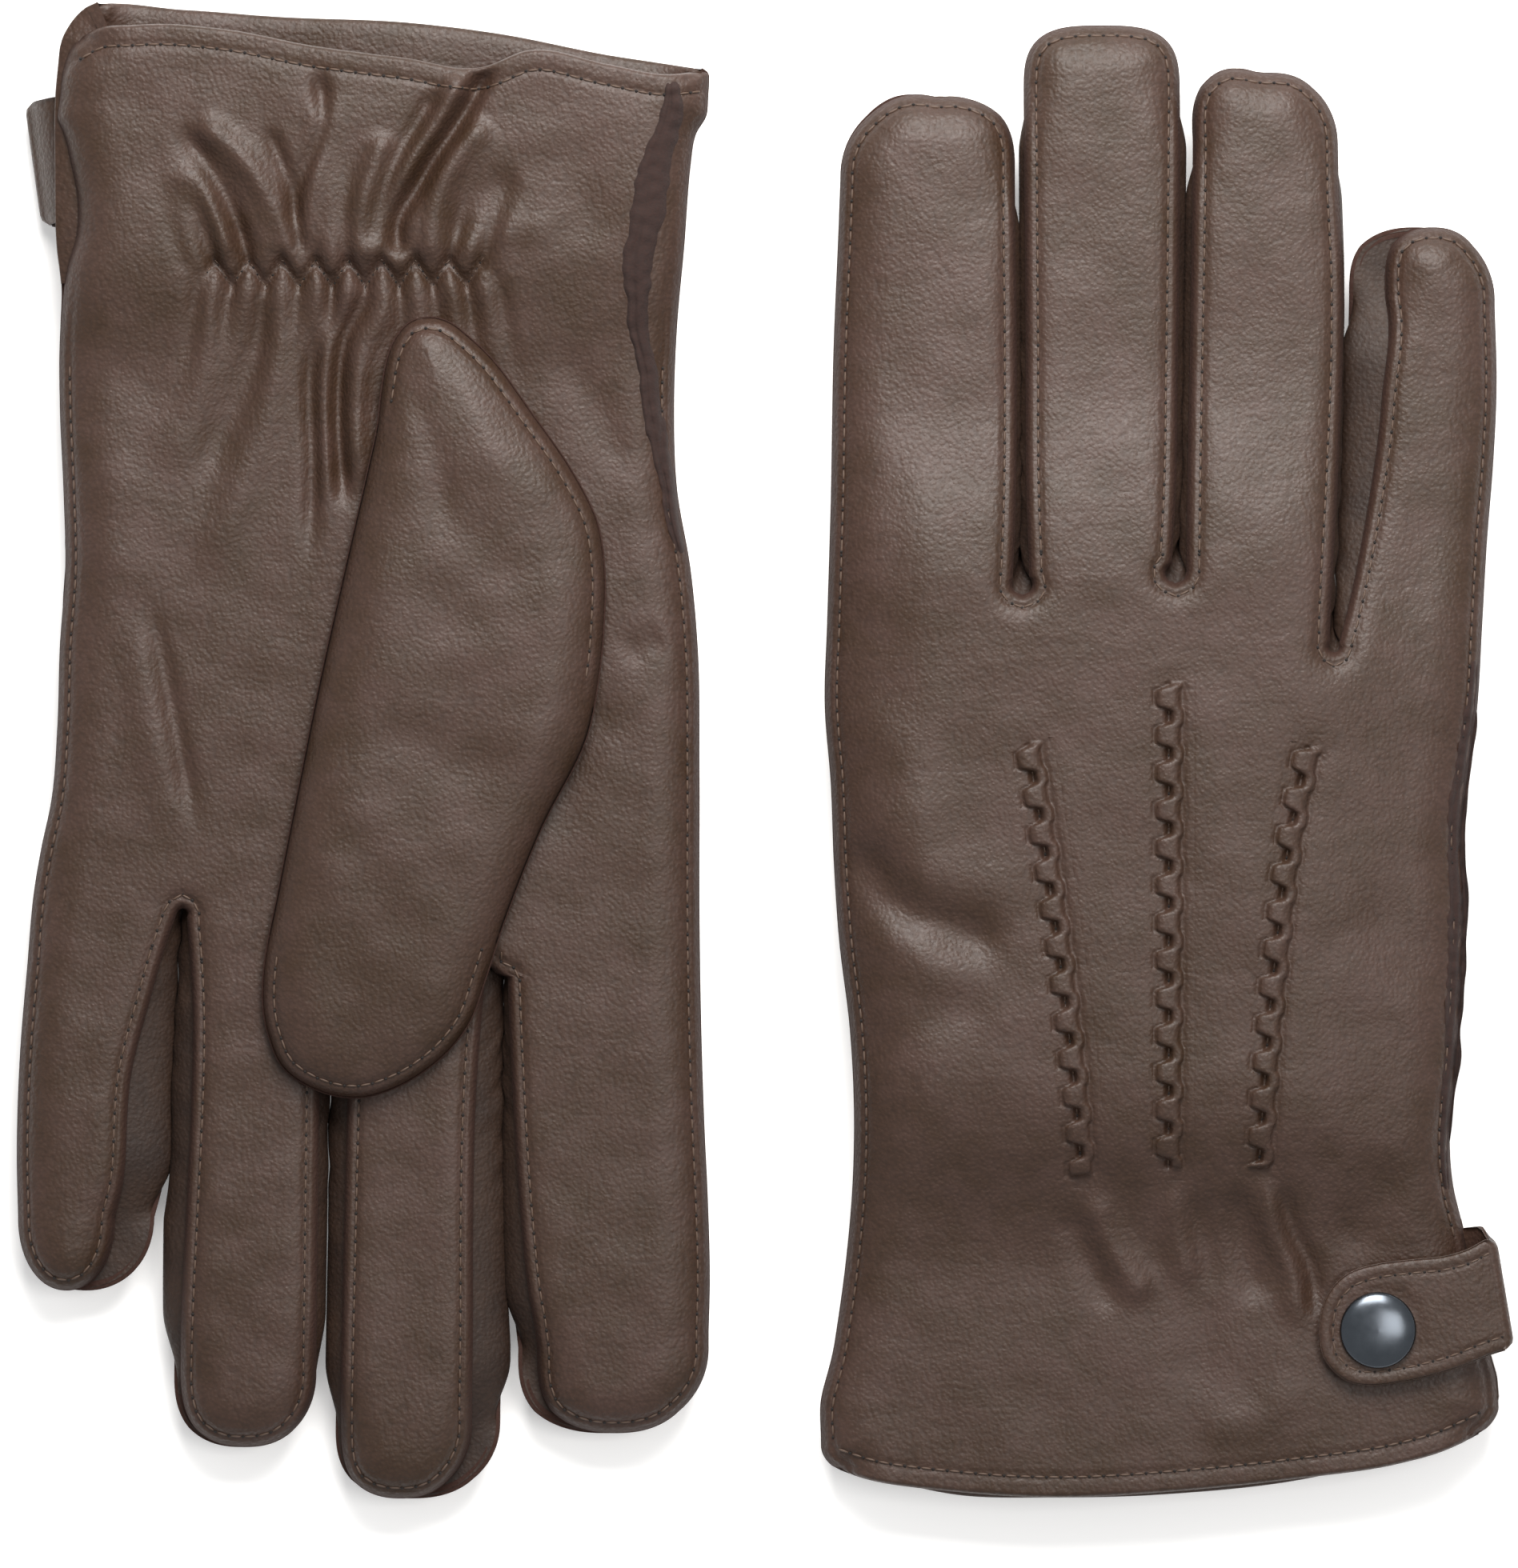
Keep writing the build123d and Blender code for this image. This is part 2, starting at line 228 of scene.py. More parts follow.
@dataclass(frozen=True)
class FingerCut:
    """One finger lying flat: its outline from above and how far each face's strip stays inside it."""

    name: str
    bend_y: float
    left: Curve
    right: Curve
    tip_y: float
    tip_reach: float
    back_in: tuple[Curve, Curve] = (((0, 0.0),), ((0, 0.0),))
    palm_in: tuple[Curve, Curve] = (((0, 2.6),), ((0, 2.6),))
    squareness: float = 2.35
    tip_bumps: tuple[tuple[float, float, float], ...] = ()
    columns: int = 40
    lean: float = 0.0

    def edges(self, face: Face, y: np.ndarray) -> tuple[np.ndarray, np.ndarray]:
        """The strip's left and right edges on one face."""
        ins = self.back_in if face is Face.BACK else self.palm_in
        return spline(self.left, y) + spline(ins[0], y), spline(self.right, y) - spline(ins[1], y)

    @property
    def tip_start(self) -> float:
        """Where the sides begin to round into the tip."""
        return self.tip_y - self.tip_reach


@dataclass
class Rim:
    """The sewn edges of a sheet: points with the drop and the rounding there."""

    points: list[np.ndarray] = field(default_factory=list)
    drops: list[np.ndarray] = field(default_factory=list)
    reaches: list[np.ndarray] = field(default_factory=list)

    def add(self, path: np.ndarray, drop: np.ndarray, reach: np.ndarray) -> None:
        """Adds one edge.

        Args:
            path: The points of the line.
            drop: How far the side falls.
            reach: How widely it is rounded.
        """
        self.points.append(path)
        self.drops.append(np.broadcast_to(drop, len(path)).astype(float))
        self.reaches.append(np.broadcast_to(reach, len(path)).astype(float))

    def nearest(self, xy: np.ndarray) -> tuple[np.ndarray, np.ndarray, np.ndarray]:
        """The distance to the nearest edge, and the drop and rounding there.

        Args:
            xy: Points of the sheet.

        Returns:
            Three arrays: distance, drop and rounding.
        """
        a = np.concatenate([p[:-1] for p in self.points]).astype(np.float32)
        b = np.concatenate([p[1:] for p in self.points]).astype(np.float32)
        drop = np.concatenate([(d[:-1] + d[1:]) / 2 for d in self.drops])
        reach = np.concatenate([(r[:-1] + r[1:]) / 2 for r in self.reaches])
        ab = b - a
        length = np.maximum((ab * ab).sum(1), 1e-9)
        out = np.empty(len(xy)), np.empty(len(xy)), np.empty(len(xy))
        xy = xy.astype(np.float32)
        for start in range(0, len(xy), 3000):
            part = slice(start, start + 3000)
            dx = xy[part, None, 0] - a[None, :, 0]
            dy = xy[part, None, 1] - a[None, :, 1]
            u = np.clip((dx * ab[:, 0] + dy * ab[:, 1]) / length, 0, 1)
            d2 = (dx - u * ab[:, 0]) ** 2 + (dy - u * ab[:, 1]) ** 2
            k = d2.argmin(1)
            out[0][part] = np.sqrt(d2[np.arange(len(k)), k])
            out[1][part] = drop[k]
            out[2][part] = reach[k]
        return out


@dataclass(frozen=True)
class GloveCut:
    """The measured shape of one glove: outline, fingers, cuff line, drape and folds."""

    side: Side
    radial: Curve
    ulnar: Curve
    cuff_back: Curve
    cuff_palm: Curve
    crotches: tuple[Crotch, Crotch, Crotch]
    fingers: tuple[FingerCut, FingerCut, FingerCut, FingerCut]
    back_folds: tuple[Fold, ...] = ()
    palm_folds: tuple[Fold, ...] = ()
    strips: tuple[SeamStrip, ...] = ()
    corners_back: tuple[float, float] = (3.0, 3.4)
    corners_palm: tuple[float, float] = (3.5, 5.0)
    ulnar_palm: Curve = ()

    def drape(self, x: np.ndarray, y: np.ndarray) -> np.ndarray:
        """How far the flat glove is lifted off its own palm plane.

        Args:
            x: Places across.
            y: Places along.

        Returns:
            Heights: over the folded thumb in the right glove, and down at the cuff in the left.
        """
        if self.side is Side.LEFT:
            line = ((-60, LEFT_CUFF), (42, LEFT_CUFF), (60, 0.0), (300, 0.0))
            main = little = line
        else:
            main = ((-60, 0.0), (42, 0.0), (64, HUMP), (158, HUMP), (184, 3.0), (262, 0.0))
            little = ((-60, 0.0), (42, 0.0), (64, HUMP), (142, HUMP), (167, 3.0), (262, 0.0))
        share = smooth(28.5, 31.0, x)
        total = np.zeros_like(x, float)
        for shift in (-6.0, -3.0, 0.0, 3.0, 6.0):
            for line, part in ((main, 1 - share), (little, share)):
                p, v = np.array(line, float).T
                total += part * np.interp(y + shift, p, v) / 5
        if self.side is Side.RIGHT:
            away = np.maximum(smooth(16, 50, x), smooth(38, 56, -x))
            total *= 1 - 0.5 * away * smooth(30, 60, y)
        return total


def finger_strip_grid(cut: FingerCut, face: Face, rows: np.ndarray, share: np.ndarray) -> np.ndarray:
    """Points of a finger's strip from some rows up to and round its tip.

    Args:
        cut: The finger.
        face: Back or palm.
        rows: The heights y of the straight rows, up to where the tip starts.
        share: Places across from 0 to 1.

    Returns:
        An array of rows by columns by (x, y).
    """
    left, right = cut.edges(face, rows)
    x = left[:, None] + (right - left)[:, None] * share[None, :]
    body = np.stack([x, np.broadcast_to(rows[:, None], x.shape)], axis=2)
    a, b = (float(e[0]) for e in cut.edges(face, np.array([cut.tip_start])))
    centre, half = (a + b) / 2, (b - a) / 2
    u = 2 * share - 1
    count = max(8, int(cut.tip_reach * 1.25 / STEP))
    caps = []
    for v in np.linspace(0, 1, count + 1)[1:]:
        p = u * math.sqrt(1 - v * v / 2)
        q = v * np.sqrt(1 - u * u / 2)
        r2 = p * p + q * q
        angle = np.arctan2(q, p)
        n = cut.squareness
        square = (np.abs(np.cos(angle)) ** n + np.abs(np.sin(angle)) ** n) ** (-1 / n)
        grow = 1 + (square - 1) * r2
        for place, width, amount in cut.tip_bumps:
            off = (np.degrees(angle) - place) / width
            grow = grow + amount / cut.tip_reach * np.exp(-off * off) * r2**4
        shift = centre + cut.lean * v * v * (1 - 0.3 * v)
        caps.append(np.stack([shift + half * p * grow, cut.tip_start + cut.tip_reach * q * grow], axis=1))
    return np.concatenate([body, np.array(caps)])


class Sheet:
    """One face of a glove: its strips' grids, its edges and its height at any point."""

    def __init__(self, cut: GloveCut, face: Face) -> None:
        """Lays out the strips and collects the sewn edges.

        Args:
            cut: The glove's shape.
            face: Back or palm.
        """
        self.cut = cut
        self.face = face
        self.rim = Rim()
        self.folds = cut.back_folds if face is Face.BACK else cut.palm_folds
        self.cuff = cut.cuff_back if face is Face.BACK else cut.cuff_palm
        palm_side = face is Face.PALM and cut.ulnar_palm
        self.side_line = cut.ulnar_palm if palm_side else cut.ulnar
        self.bare = False
        self.hand_rows = self.rows_of_hand()
        self.strips = [self.strip(i) for i in range(4)]
        self.collect_rim()

    def rows_of_hand(self) -> np.ndarray:
        """Row heights from the cuff to the split, closer together at the hem, the crotches and the wrist.

        Returns:
            The heights y, from 0 to the split.
        """
        rows = [0.0]
        ends = [c.at(self.face)[1] for c in self.cut.crotches]
        while rows[-1] < SPLIT_Y:
            y = rows[-1]
            step = STEP
            if y < 2.0:
                step = 0.3
            elif min(abs(y - e - 1.0) for e in ends) < 3.0:
                step = STEP * 0.55
            rows.append(y + step)
        rows = np.array(rows)
        rows *= SPLIT_Y / rows[-1]
        for e in ends:
            if e < SPLIT_Y:
                rows[np.abs(rows - e).argmin()] = e
        return rows

    def boundary(self, k: int, y: np.ndarray, of_left_finger: bool) -> np.ndarray:
        """The line between strip k - 1 and strip k, or the glove's side where k is 0 or 4.

        Args:
            k: Which line, from the thumb side.
            y: Heights to read it at.
            of_left_finger: Whether it is read as the right edge of the strip on its left.

        Returns:
            Its x at each height.
        """
        fingers = self.cut.fingers
        if k == 0:
            return spline(self.cut.radial, y)
        if k == 4:
            return spline(self.side_line, y)
        crotch = self.cut.crotches[k - 1]
        cx, cy = crotch.at(self.face)
        finger = fingers[k - 1] if of_left_finger else fingers[k]
        edge = finger.edges(self.face, y)[1 if of_left_finger else 0]
        way = -1.0 if of_left_finger else 1.0
        r = crotch.bulb
        t = np.clip((y - cy) / r, 0, 2)
        round_ = r * np.sqrt(np.clip(1 - (t - 1) ** 2, 0, 1))
        join = smooth(cy + r, cy + r * 3.0, y)
        slit = way * (edge - cx)
        neck = np.where(t < 1, round_, np.maximum(round_, slit))
        above = cx + way * (neck * (1 - join) + slit * join)
        fraction = (0.0, 0.285, 0.53, 0.765)[k]
        low = np.zeros_like(y) + 5.0
        at_cuff = spline(self.cut.radial, low) * (1 - fraction) + spline(self.cut.ulnar, low) * fraction
        below = cx + (at_cuff - cx) * np.clip((cy - y) / cy, 0, 1)
        return np.where(y > cy, above, below)

    def spacing(self, finger: int, y: np.ndarray) -> np.ndarray:
        """Places across a strip from 0 to 1 for each row, closer together beside sewn edges.

        Args:
            finger: Which strip.
            y: The rows' heights.

        Returns:
            An array of rows by columns.
        """
        count = max(16, int(self.cut.fingers[finger].columns * 0.7 / STEP))
        u = np.linspace(0, 1, count + 1)[None, :]
        near = 0.72 * smooth(138, 152, y)[:, None]
        left = np.full_like(near, 0.72) if finger == 0 else near
        right = np.full_like(near, 0.72) if finger == 3 else near
        return u - left * u * (1 - u) ** 2 + right * (1 - u) * u**2

    def strip(self, i: int) -> np.ndarray:
        """The grid of one strip from the cuff to its fingertip.

        Args:
            i: Which finger's strip.

        Returns:
            An array of rows by columns by (x, y).
        """
        finger = self.cut.fingers[i]
        y = self.hand_rows
        left = self.boundary(i, y, False)
        right = self.boundary(i + 1, y, True)
        first, last = self.cut.corners_back if self.face is Face.BACK else self.cut.corners_palm
        if i == 0:
            left = left + first * (1 - np.sqrt(1 - (1 - np.clip(y / first, 0, 1)) ** 2))
        if i == 3:
            right = right - last * (1 - np.sqrt(1 - (1 - np.clip(y / last, 0, 1)) ** 2))
        share = self.spacing(i, y)
        x = left[:, None] + (right - left)[:, None] * share
        yy = y[:, None] + spline(self.cuff, x) * (1 - smooth(0, 26, y))[:, None]
        hand = np.stack([x, yy], axis=2)
        above = np.arange(SPLIT_Y + STEP, finger.tip_start, STEP)
        above = np.append(above, finger.tip_start)
        top = self.spacing(i, np.array([SPLIT_Y]))[0]
        grid = finger_strip_grid(finger, self.face, above, top)
        edge = self.opened(i, grid, above)
        return np.concatenate([hand, edge])

    def opened(self, i: int, grid: np.ndarray, rows: np.ndarray) -> np.ndarray:
        """Fits a finger's straight rows to its slits, where a crotch lies above the split.

        Args:
            i: Which finger, from the thumb side.
            grid: The finger's points, which are changed.
            rows: The heights y of its straight rows.

        Returns:
            The changed grid.
        """
        left = self.boundary(i, rows, False)
        right = self.boundary(i + 1, rows, True)
        if i == 0:
            left = self.cut.fingers[0].edges(self.face, rows)[0]
        if i == 3:
            right = self.cut.fingers[3].edges(self.face, rows)[1]
        share = (grid[: len(rows), :, 0] - grid[: len(rows), :1, 0]) / np.ptp(
            grid[: len(rows), :, 0], axis=1
        )[:, None]
        grid[: len(rows), :, 0] = left[:, None] + (right - left)[:, None] * share
        return grid

    def collect_rim(self) -> None:
        """Collects every sewn edge with how deep its side falls and how widely it is rounded."""
        n = len(self.hand_rows)
        for i, grid in enumerate(self.strips):
            finger = self.cut.fingers[i]
            for k, column in ((i, 0), (i + 1, -1)):
                line = grid[:, column]
                outer = k in (0, 4)
                start = -12.0 if outer else self.cut.crotches[k - 1].at(self.face)[1]
                keep = line[:, 1] >= start - 0.01
                keep[:n] &= self.hand_rows >= start - 0.01
                path = line[keep]
                if outer:
                    path = np.concatenate([[[path[0, 0], -30.0]], path])
                tipness = smooth(finger.tip_y - 24, finger.tip_y - 7, path[:, 1])
                inner_drop = 2.5 if self.face is Face.BACK else 2.3
                drop = 6.0 if outer else inner_drop + (6.0 - inner_drop) * tipness
                reach = 9.0 if outer else 5.5 + 3.0 * tipness
                self.rim.add(path, drop, reach)
            self.rim.add(grid[-1], 6.0, 8.5)

    def details(self, xy: np.ndarray, d: np.ndarray) -> np.ndarray:
        """Small shapes that stand out of or into the face.

        Args:
            xy: Points of the face.
            d: Their distances from the sewn edges.

        Returns:
            Heights outwards.
        """
        x, y = xy.T
        seed = 11 if self.face is Face.BACK else 31
        seed += 7 if self.cut.side is Side.LEFT else 0
        inside = smooth(0.5, 5.0, d)
        flat = 1 - self.near_strap(xy)
        out = inside * flat * (0.28 * soft_noise(x, y, 38, seed) + 0.11 * soft_noise(x, y, 14, seed + 1))
        out += inside * 0.035 * soft_noise(x, y, 4.5, seed + 2)
        above_cuff = y - spline(self.cuff, x)
        sewn = smooth(40, 60, y) if self.face is Face.PALM else 1.0
        out -= 0.42 * sewn * np.exp(-(((d - STITCH_IN) / 0.42) ** 2))
        out += 0.16 * sewn * np.exp(-(((d - 0.9) / 0.5) ** 2))
        out -= 0.30 * np.exp(-(((above_cuff - HEM_IN) / 0.55) ** 2))
        out -= 0.9 * (1 - np.sqrt(np.clip(1 - (1 - np.clip(above_cuff / 0.9, 0, 1)) ** 2, 0, 1)))
        for fold in self.folds:
            out += fold.lift(xy) * smooth(0.0, 3.0, d) * smooth(-0.5, 3.0, above_cuff)
        if self.face is Face.BACK:
            out += points_height(xy, self.bare)
        else:
            out += gather_height(xy)
        return out

    def near_strap(self, xy: np.ndarray) -> np.ndarray:
        """How near a point is to the snap on the back, from 0 to 1.

        Args:
            xy: Points of the face.

        Returns:
            A share for each point, 0 everywhere on the palm.
        """
        if self.face is Face.PALM:
            return np.zeros(len(xy))
        d = np.hypot(xy[:, 0] - SNAP_CENTRE[0], xy[:, 1] - SNAP_CENTRE[1])
        return 1 - smooth(8, 16, d)

    def height_and_distance(self, xy: np.ndarray) -> tuple[np.ndarray, np.ndarray]:
        """The outside of the leather at each point, and how far the point is from a sewn edge.

        Args:
            xy: Points of the face.

        Returns:
            Their z, and their distances.
        """
        d, drop, reach = self.rim.nearest(xy)
        t = np.clip(d / reach, 0, 1)
        fall = drop * (1 - np.sqrt(np.clip(1 - (1 - t) ** 2, 0, 1)))
        base = self.cut.drape(xy[:, 0], xy[:, 1]) + (DEPTH if self.face is Face.BACK else 0.0)
        z = base + self.face.value * (self.details(xy, d) - fall)
        return self.pressed(z), d

    def height(self, xy: np.ndarray) -> np.ndarray:
        """The outside of the leather at each point."""
        return self.height_and_distance(xy)[0]

    def pressed(self, z: np.ndarray) -> np.ndarray:
        """Flattens what a glove lies on: the left one's back and the right one's palm, at the table.

        Args:
            z: Heights of the leather.

        Returns:
            The heights with the side on the table flattened.
        """
        if self.cut.side is Side.LEFT and self.face is Face.BACK:
            return np.minimum(z, DEPTH) + 0.5 * np.tanh(np.maximum(z - DEPTH, 0.0) / 0.5)
        if self.cut.side is Side.RIGHT and self.face is Face.PALM:
            return np.maximum(z, 0.3) - 0.3 * np.tanh(np.maximum(0.3 - z, 0.0) / 0.3)
        return z


POINT_LINES = (
    ((-22.3, 125.4), (-20.4, 113.9), (-18.2, 99.1), (-14.6, 69.7), (-13.1, 53.0)),
    ((1.0, 135.3), (1.0, 110.0), (1.0, 80.0), (1.0, 54.2)),
    ((24.0, 124.7), (21.0, 110.2), (18.3, 88.0), (16.5, 66.0), (15.9, 54.2)),
)
POINT_PITCH = 6.15
POINT_NOTCH = -0.55


def points_height(xy: np.ndarray, bare: bool) -> np.ndarray:
    """The shallow beds in the back that the three raised lines stand in.

    Args:
        xy: Points of the back.
        bare: Leaves out the pockets that make room for the lines' own pieces.

    Returns:
        Heights outwards.
    """
    out = np.zeros(len(xy))
    for line in POINT_LINES:
        middle = spline(tuple((y, x) for x, y in line[::-1]), xy[:, 1])
        across = xy[:, 0] - middle
        inside = smooth(line[-1][1] - 3, line[-1][1] + 2, xy[:, 1])
        inside = inside * (1 - smooth(line[0][1] - 2, line[0][1] + 3, xy[:, 1]))
        out -= 0.4 * inside * np.exp(-((across / 3.0) ** 2))
        if not bare:
            narrow = smooth(line[-1][1] - 1.2, line[-1][1] + 0.3, xy[:, 1])
            narrow *= 1 - smooth(line[0][1] - 0.3, line[0][1] + 1.2, xy[:, 1])
            out -= 0.9 * narrow * (1 - smooth(2.3, 3.3, np.abs(across)))
    return out


ELASTIC_Y = 44.6
ELASTIC_ENDS = (-19.5, 25.6)
ZIGZAG_PITCH = 5.5


def gather_height(xy: np.ndarray) -> np.ndarray:
    """Pleats that fan out from the elastic across the palm side of the wrist.

    Args:
        xy: Points of the palm.

    Returns:
        Heights outwards.
    """
    x, y = xy.T
    away = y - ELASTIC_Y
    low, high = ELASTIC_ENDS
    mid = (low + high) / 2
    fan = 1 + np.abs(away) / np.where(away < 0, 95, 130)
    u = mid + (x - mid) / fan
    warp = 0.55 * soft_noise(x * 0.7, y, 30, 5) * smooth(4, 22, np.abs(away))
    across = smooth(low - 7, low + 2, u) * (1 - smooth(high - 2, high + 7, u))
    phase = (u - low) / ZIGZAG_PITCH * 2 * math.pi + warp * 2
    wave = np.where(away < 0, 0.5 + 0.5 * np.cos(phase + math.pi), 0.5 + 0.5 * np.cos(phase))
    wave = wave**0.8
    reach = np.where(away < 0, 12.0, 11.0)
    strength = 1.9 * np.exp(-((away / reach) ** 2)) + 0.22 * np.exp(-((away / 24.0) ** 2))
    strength *= 0.78 + 0.42 * soft_noise(u, y * 0.22, 11, 41)
    near = 1 - np.exp(-((away / 2.4) ** 2)) * 0.65
    dip = -1.3 * np.exp(-((away / 12.0) ** 2))
    line = zigzag(x)
    valley = -1.35 * np.exp(-(((y - line) * 0.52 / 0.55) ** 2)) * smooth(low - 1, low + 1, x)
    valley *= 1 - smooth(high - 1, high + 1, x)
    return across * (strength * near * (wave - 0.35) + dip) + valley


@dataclass
class MeshParts:
    """Vertices and faces of a piece while it is made, with a material index for each face."""

    verts: list[np.ndarray] = field(default_factory=list)
    faces: list[tuple[int, ...]] = field(default_factory=list)
    slots: list[int] = field(default_factory=list)
    edge: list[np.ndarray] = field(default_factory=list)
    count: int = 0

    def add_grid(self, points: np.ndarray, slot: int = 0, flip: bool = False,
                 edge: float | np.ndarray = 0.0, closed: bool = False) -> None:
        """Adds a grid of points as quads.

        Args:
            points: Rows by columns by (x, y, z).
            slot: The material index of its faces.
            flip: Whether its faces are turned round.
            edge: How much of the look is raw edge, for the whole grid or for each point.
            closed: Whether the last column joins the first.
        """
        rows, cols = points.shape[:2]
        index = self.count + np.arange(rows * cols).reshape(rows, cols)
        if closed:
            index = np.concatenate([index, index[:, :1]], axis=1)
        a, b = index[:-1, :-1].ravel(), index[:-1, 1:].ravel()
        c, d = index[1:, 1:].ravel(), index[1:, :-1].ravel()
        quads = zip(a, d, c, b) if flip else zip(a, b, c, d)
        for q in quads:
            self.faces.append(tuple(int(v) for v in q))
            self.slots.append(slot)
        self.verts.append(points.reshape(-1, 3))
        self.edge.append(np.broadcast_to(edge, (rows, cols)).ravel().astype(float))
        self.count += rows * cols

    def build(self, name: str, side: Side, materials: tuple[bpy.types.Material, ...],
              merge: float = 0.0) -> bpy.types.Object:
        """Makes the Blender object.

        Args:
            name: Its name.
            side: Which glove it belongs to, which places it.
            materials: Its materials, by index.
            merge: The distance in millimetres under which vertices are joined.

        Returns:
            The object, at the origin.
        """
        local = np.concatenate(self.verts)
        faces = self.faces
        edge = np.concatenate(self.edge)
        slots = np.array(self.slots)
        if merge:
            keys, first, back = np.unique(
                np.round(local / merge).astype(np.int64), axis=0, return_index=True, return_inverse=True)
            back = back.ravel()
            local, edge = local[first], edge[first]
            merged, kept = [], []
            for k, f in enumerate(faces):
                ring = [int(back[v]) for v in f]
                ring = [v for j, v in enumerate(ring) if v != ring[j - 1]]
                if len(set(ring)) > 2:
                    merged.append(tuple(ring))
                    kept.append(k)
            faces, slots = merged, slots[kept]
        if side is Side.LEFT:
            faces = [f[::-1] for f in faces]
        mesh = bpy.data.meshes.new(name)
        mesh.from_pydata(side.to_world(local).tolist(), [], faces)
        mesh.polygons.foreach_set("material_index", slots.astype(np.int32))
        mesh.polygons.foreach_set("use_smooth", np.ones(len(faces), bool))
        place = mesh.attributes.new("cut_place", "FLOAT_VECTOR", "POINT")
        place.data.foreach_set("vector", local.astype(np.float32).ravel())
        raw = mesh.attributes.new("raw_edge", "FLOAT", "POINT")
        raw.data.foreach_set("value", edge.astype(np.float32))
        for m in materials:
            mesh.materials.append(m)
        mesh.update()
        obj = bpy.data.objects.new(name, mesh)
        bpy.context.scene.collection.objects.link(obj)
        return obj


def add_node(tree: bpy.types.NodeTree, kind: str, inputs: dict | None = None, **settings) -> bpy.types.Node:
    """Adds a node with its settings and links.

    Args:
        tree: The node tree.
        kind: The node's type name.
        inputs: Input sockets by name or index, each with a value or an output socket to link.
        settings: The node's properties.

    Returns:
        The node.
    """
    node = tree.nodes.new(kind)
    for key, value in settings.items():
        setattr(node, key, value)
    for key, value in (inputs or {}).items():
        socket = node.inputs[key]
        if isinstance(value, bpy.types.NodeSocket):
            tree.links.new(value, socket)
        else:
            socket.default_value = value
    return node


def linear(hex_colour: str) -> tuple[float, float, float, float]:
    """Turns an sRGB hex colour into linear values.

    Args:
        hex_colour: The colour as "#rrggbb".

    Returns:
        Its red, green and blue, and an alpha of 1.
    """
    parts = [int(hex_colour[i:i + 2], 16) / 255 for i in (1, 3, 5)]
    low = [p / 12.92 if p <= 0.04045 else ((p + 0.055) / 1.055) ** 2.4 for p in parts]
    return (*low, 1.0)


@dataclass(frozen=True)
class GlazedLeather:
    """Glazed hair-sheep leather: a fine pebbled grain with a soft sheen and a mottled dye."""

    name: str
    dark: str
    light: str
    roughness: float = 0.46
    grain_mm: float = 0.62
    grain_height: float = 0.11

    def material(self) -> bpy.types.Material:
        """Makes the material: pebbles about half a millimetre wide give the eye its tiny highlights.

        Returns:
            The material.
        """
        mat = bpy.data.materials.new(self.name)
        mat.use_nodes = True
        t = mat.node_tree
        t.nodes.clear()
        place = add_node(t, "ShaderNodeAttribute", attribute_name="cut_place").outputs["Vector"]
        raw = add_node(t, "ShaderNodeAttribute", attribute_name="raw_edge").outputs["Fac"]
        wander = add_node(t, "ShaderNodeTexNoise", {"Vector": place, "Scale": 0.9, "Detail": 3.0})
        shift = add_node(t, "ShaderNodeMixRGB",
                         {"Fac": 0.35, "Color1": place, "Color2": wander.outputs["Color"]},
                         blend_type="ADD")
        pebbles = add_node(t, "ShaderNodeTexVoronoi",
                           {"Vector": shift.outputs[0], "Scale": 1 / self.grain_mm},
                           feature="SMOOTH_F1")
        fine = add_node(t, "ShaderNodeTexNoise",
                        {"Vector": place, "Scale": 1.6, "Detail": 4.0, "Roughness": 0.6})
        broad = add_node(t, "ShaderNodeTexNoise", {"Vector": place, "Scale": 0.035, "Detail": 3.0,
                                                   "Roughness": 0.55})
        cloudy = add_node(t, "ShaderNodeTexNoise", {"Vector": place, "Scale": 0.16, "Detail": 4.0})
        sum_ = add_node(t, "ShaderNodeMath", {0: broad.outputs["Fac"], 1: cloudy.outputs["Fac"]},
                        operation="ADD")
        tone = add_node(t, "ShaderNodeMapRange",
                        {"Value": sum_.outputs[0], "From Min": 0.75, "From Max": 1.25})
        dye = add_node(t, "ShaderNodeMixRGB", {"Fac": tone.outputs[0], "Color1": linear(self.dark),
                                               "Color2": linear(self.light)})
        # Painted shade: the crevices between the pebbles are darkened in the colour, by up to 28 percent.
        crevice_shade = add_node(t, "ShaderNodeMapRange", {"Value": pebbles.outputs["Distance"], "From Min": 0.25,
                                                 "From Max": 0.85, "To Min": 1.0, "To Max": 0.72})
        shaded = add_node(t, "ShaderNodeMixRGB",
                          {"Fac": 1.0, "Color1": dye.outputs[0], "Color2": crevice_shade.outputs[0]},
                          blend_type="MULTIPLY")
        edged = add_node(t, "ShaderNodeMixRGB", {"Fac": raw, "Color1": shaded.outputs[0],
                                                 "Color2": linear("#2c1811")})
        rough = add_node(t, "ShaderNodeMapRange",
                         {"Value": fine.outputs["Fac"], "From Min": 0.3, "From Max": 0.7,
                                                   "To Min": self.roughness - 0.07,
                                                   "To Max": self.roughness + 0.10})
        rougher = add_node(t, "ShaderNodeMath", {0: raw, 1: 0.4, 2: rough.outputs[0]},
                           operation="MULTIPLY_ADD")
        hills = add_node(t, "ShaderNodeMath", {0: pebbles.outputs["Distance"], 1: -1.0}, operation="MULTIPLY")
        creases = add_node(t, "ShaderNodeMath", {0: fine.outputs["Fac"], 1: 0.8, 2: hills.outputs[0]},
                           operation="MULTIPLY_ADD")
        bump = add_node(t, "ShaderNodeBump", {"Height": creases.outputs[0], "Strength": 1.0,
                                              "Distance": self.grain_height * MM})
        shader = add_node(t, "ShaderNodeBsdfPrincipled", {"Base Color": edged.outputs[0],
                                                          "Roughness": rougher.outputs[0],
                                                          "Normal": bump.outputs[0], "IOR": 1.33,
                                                          "Specular IOR Level": 0.62})
        add_node(t, "ShaderNodeOutputMaterial", {"Surface": shader.outputs[0]})
        return mat


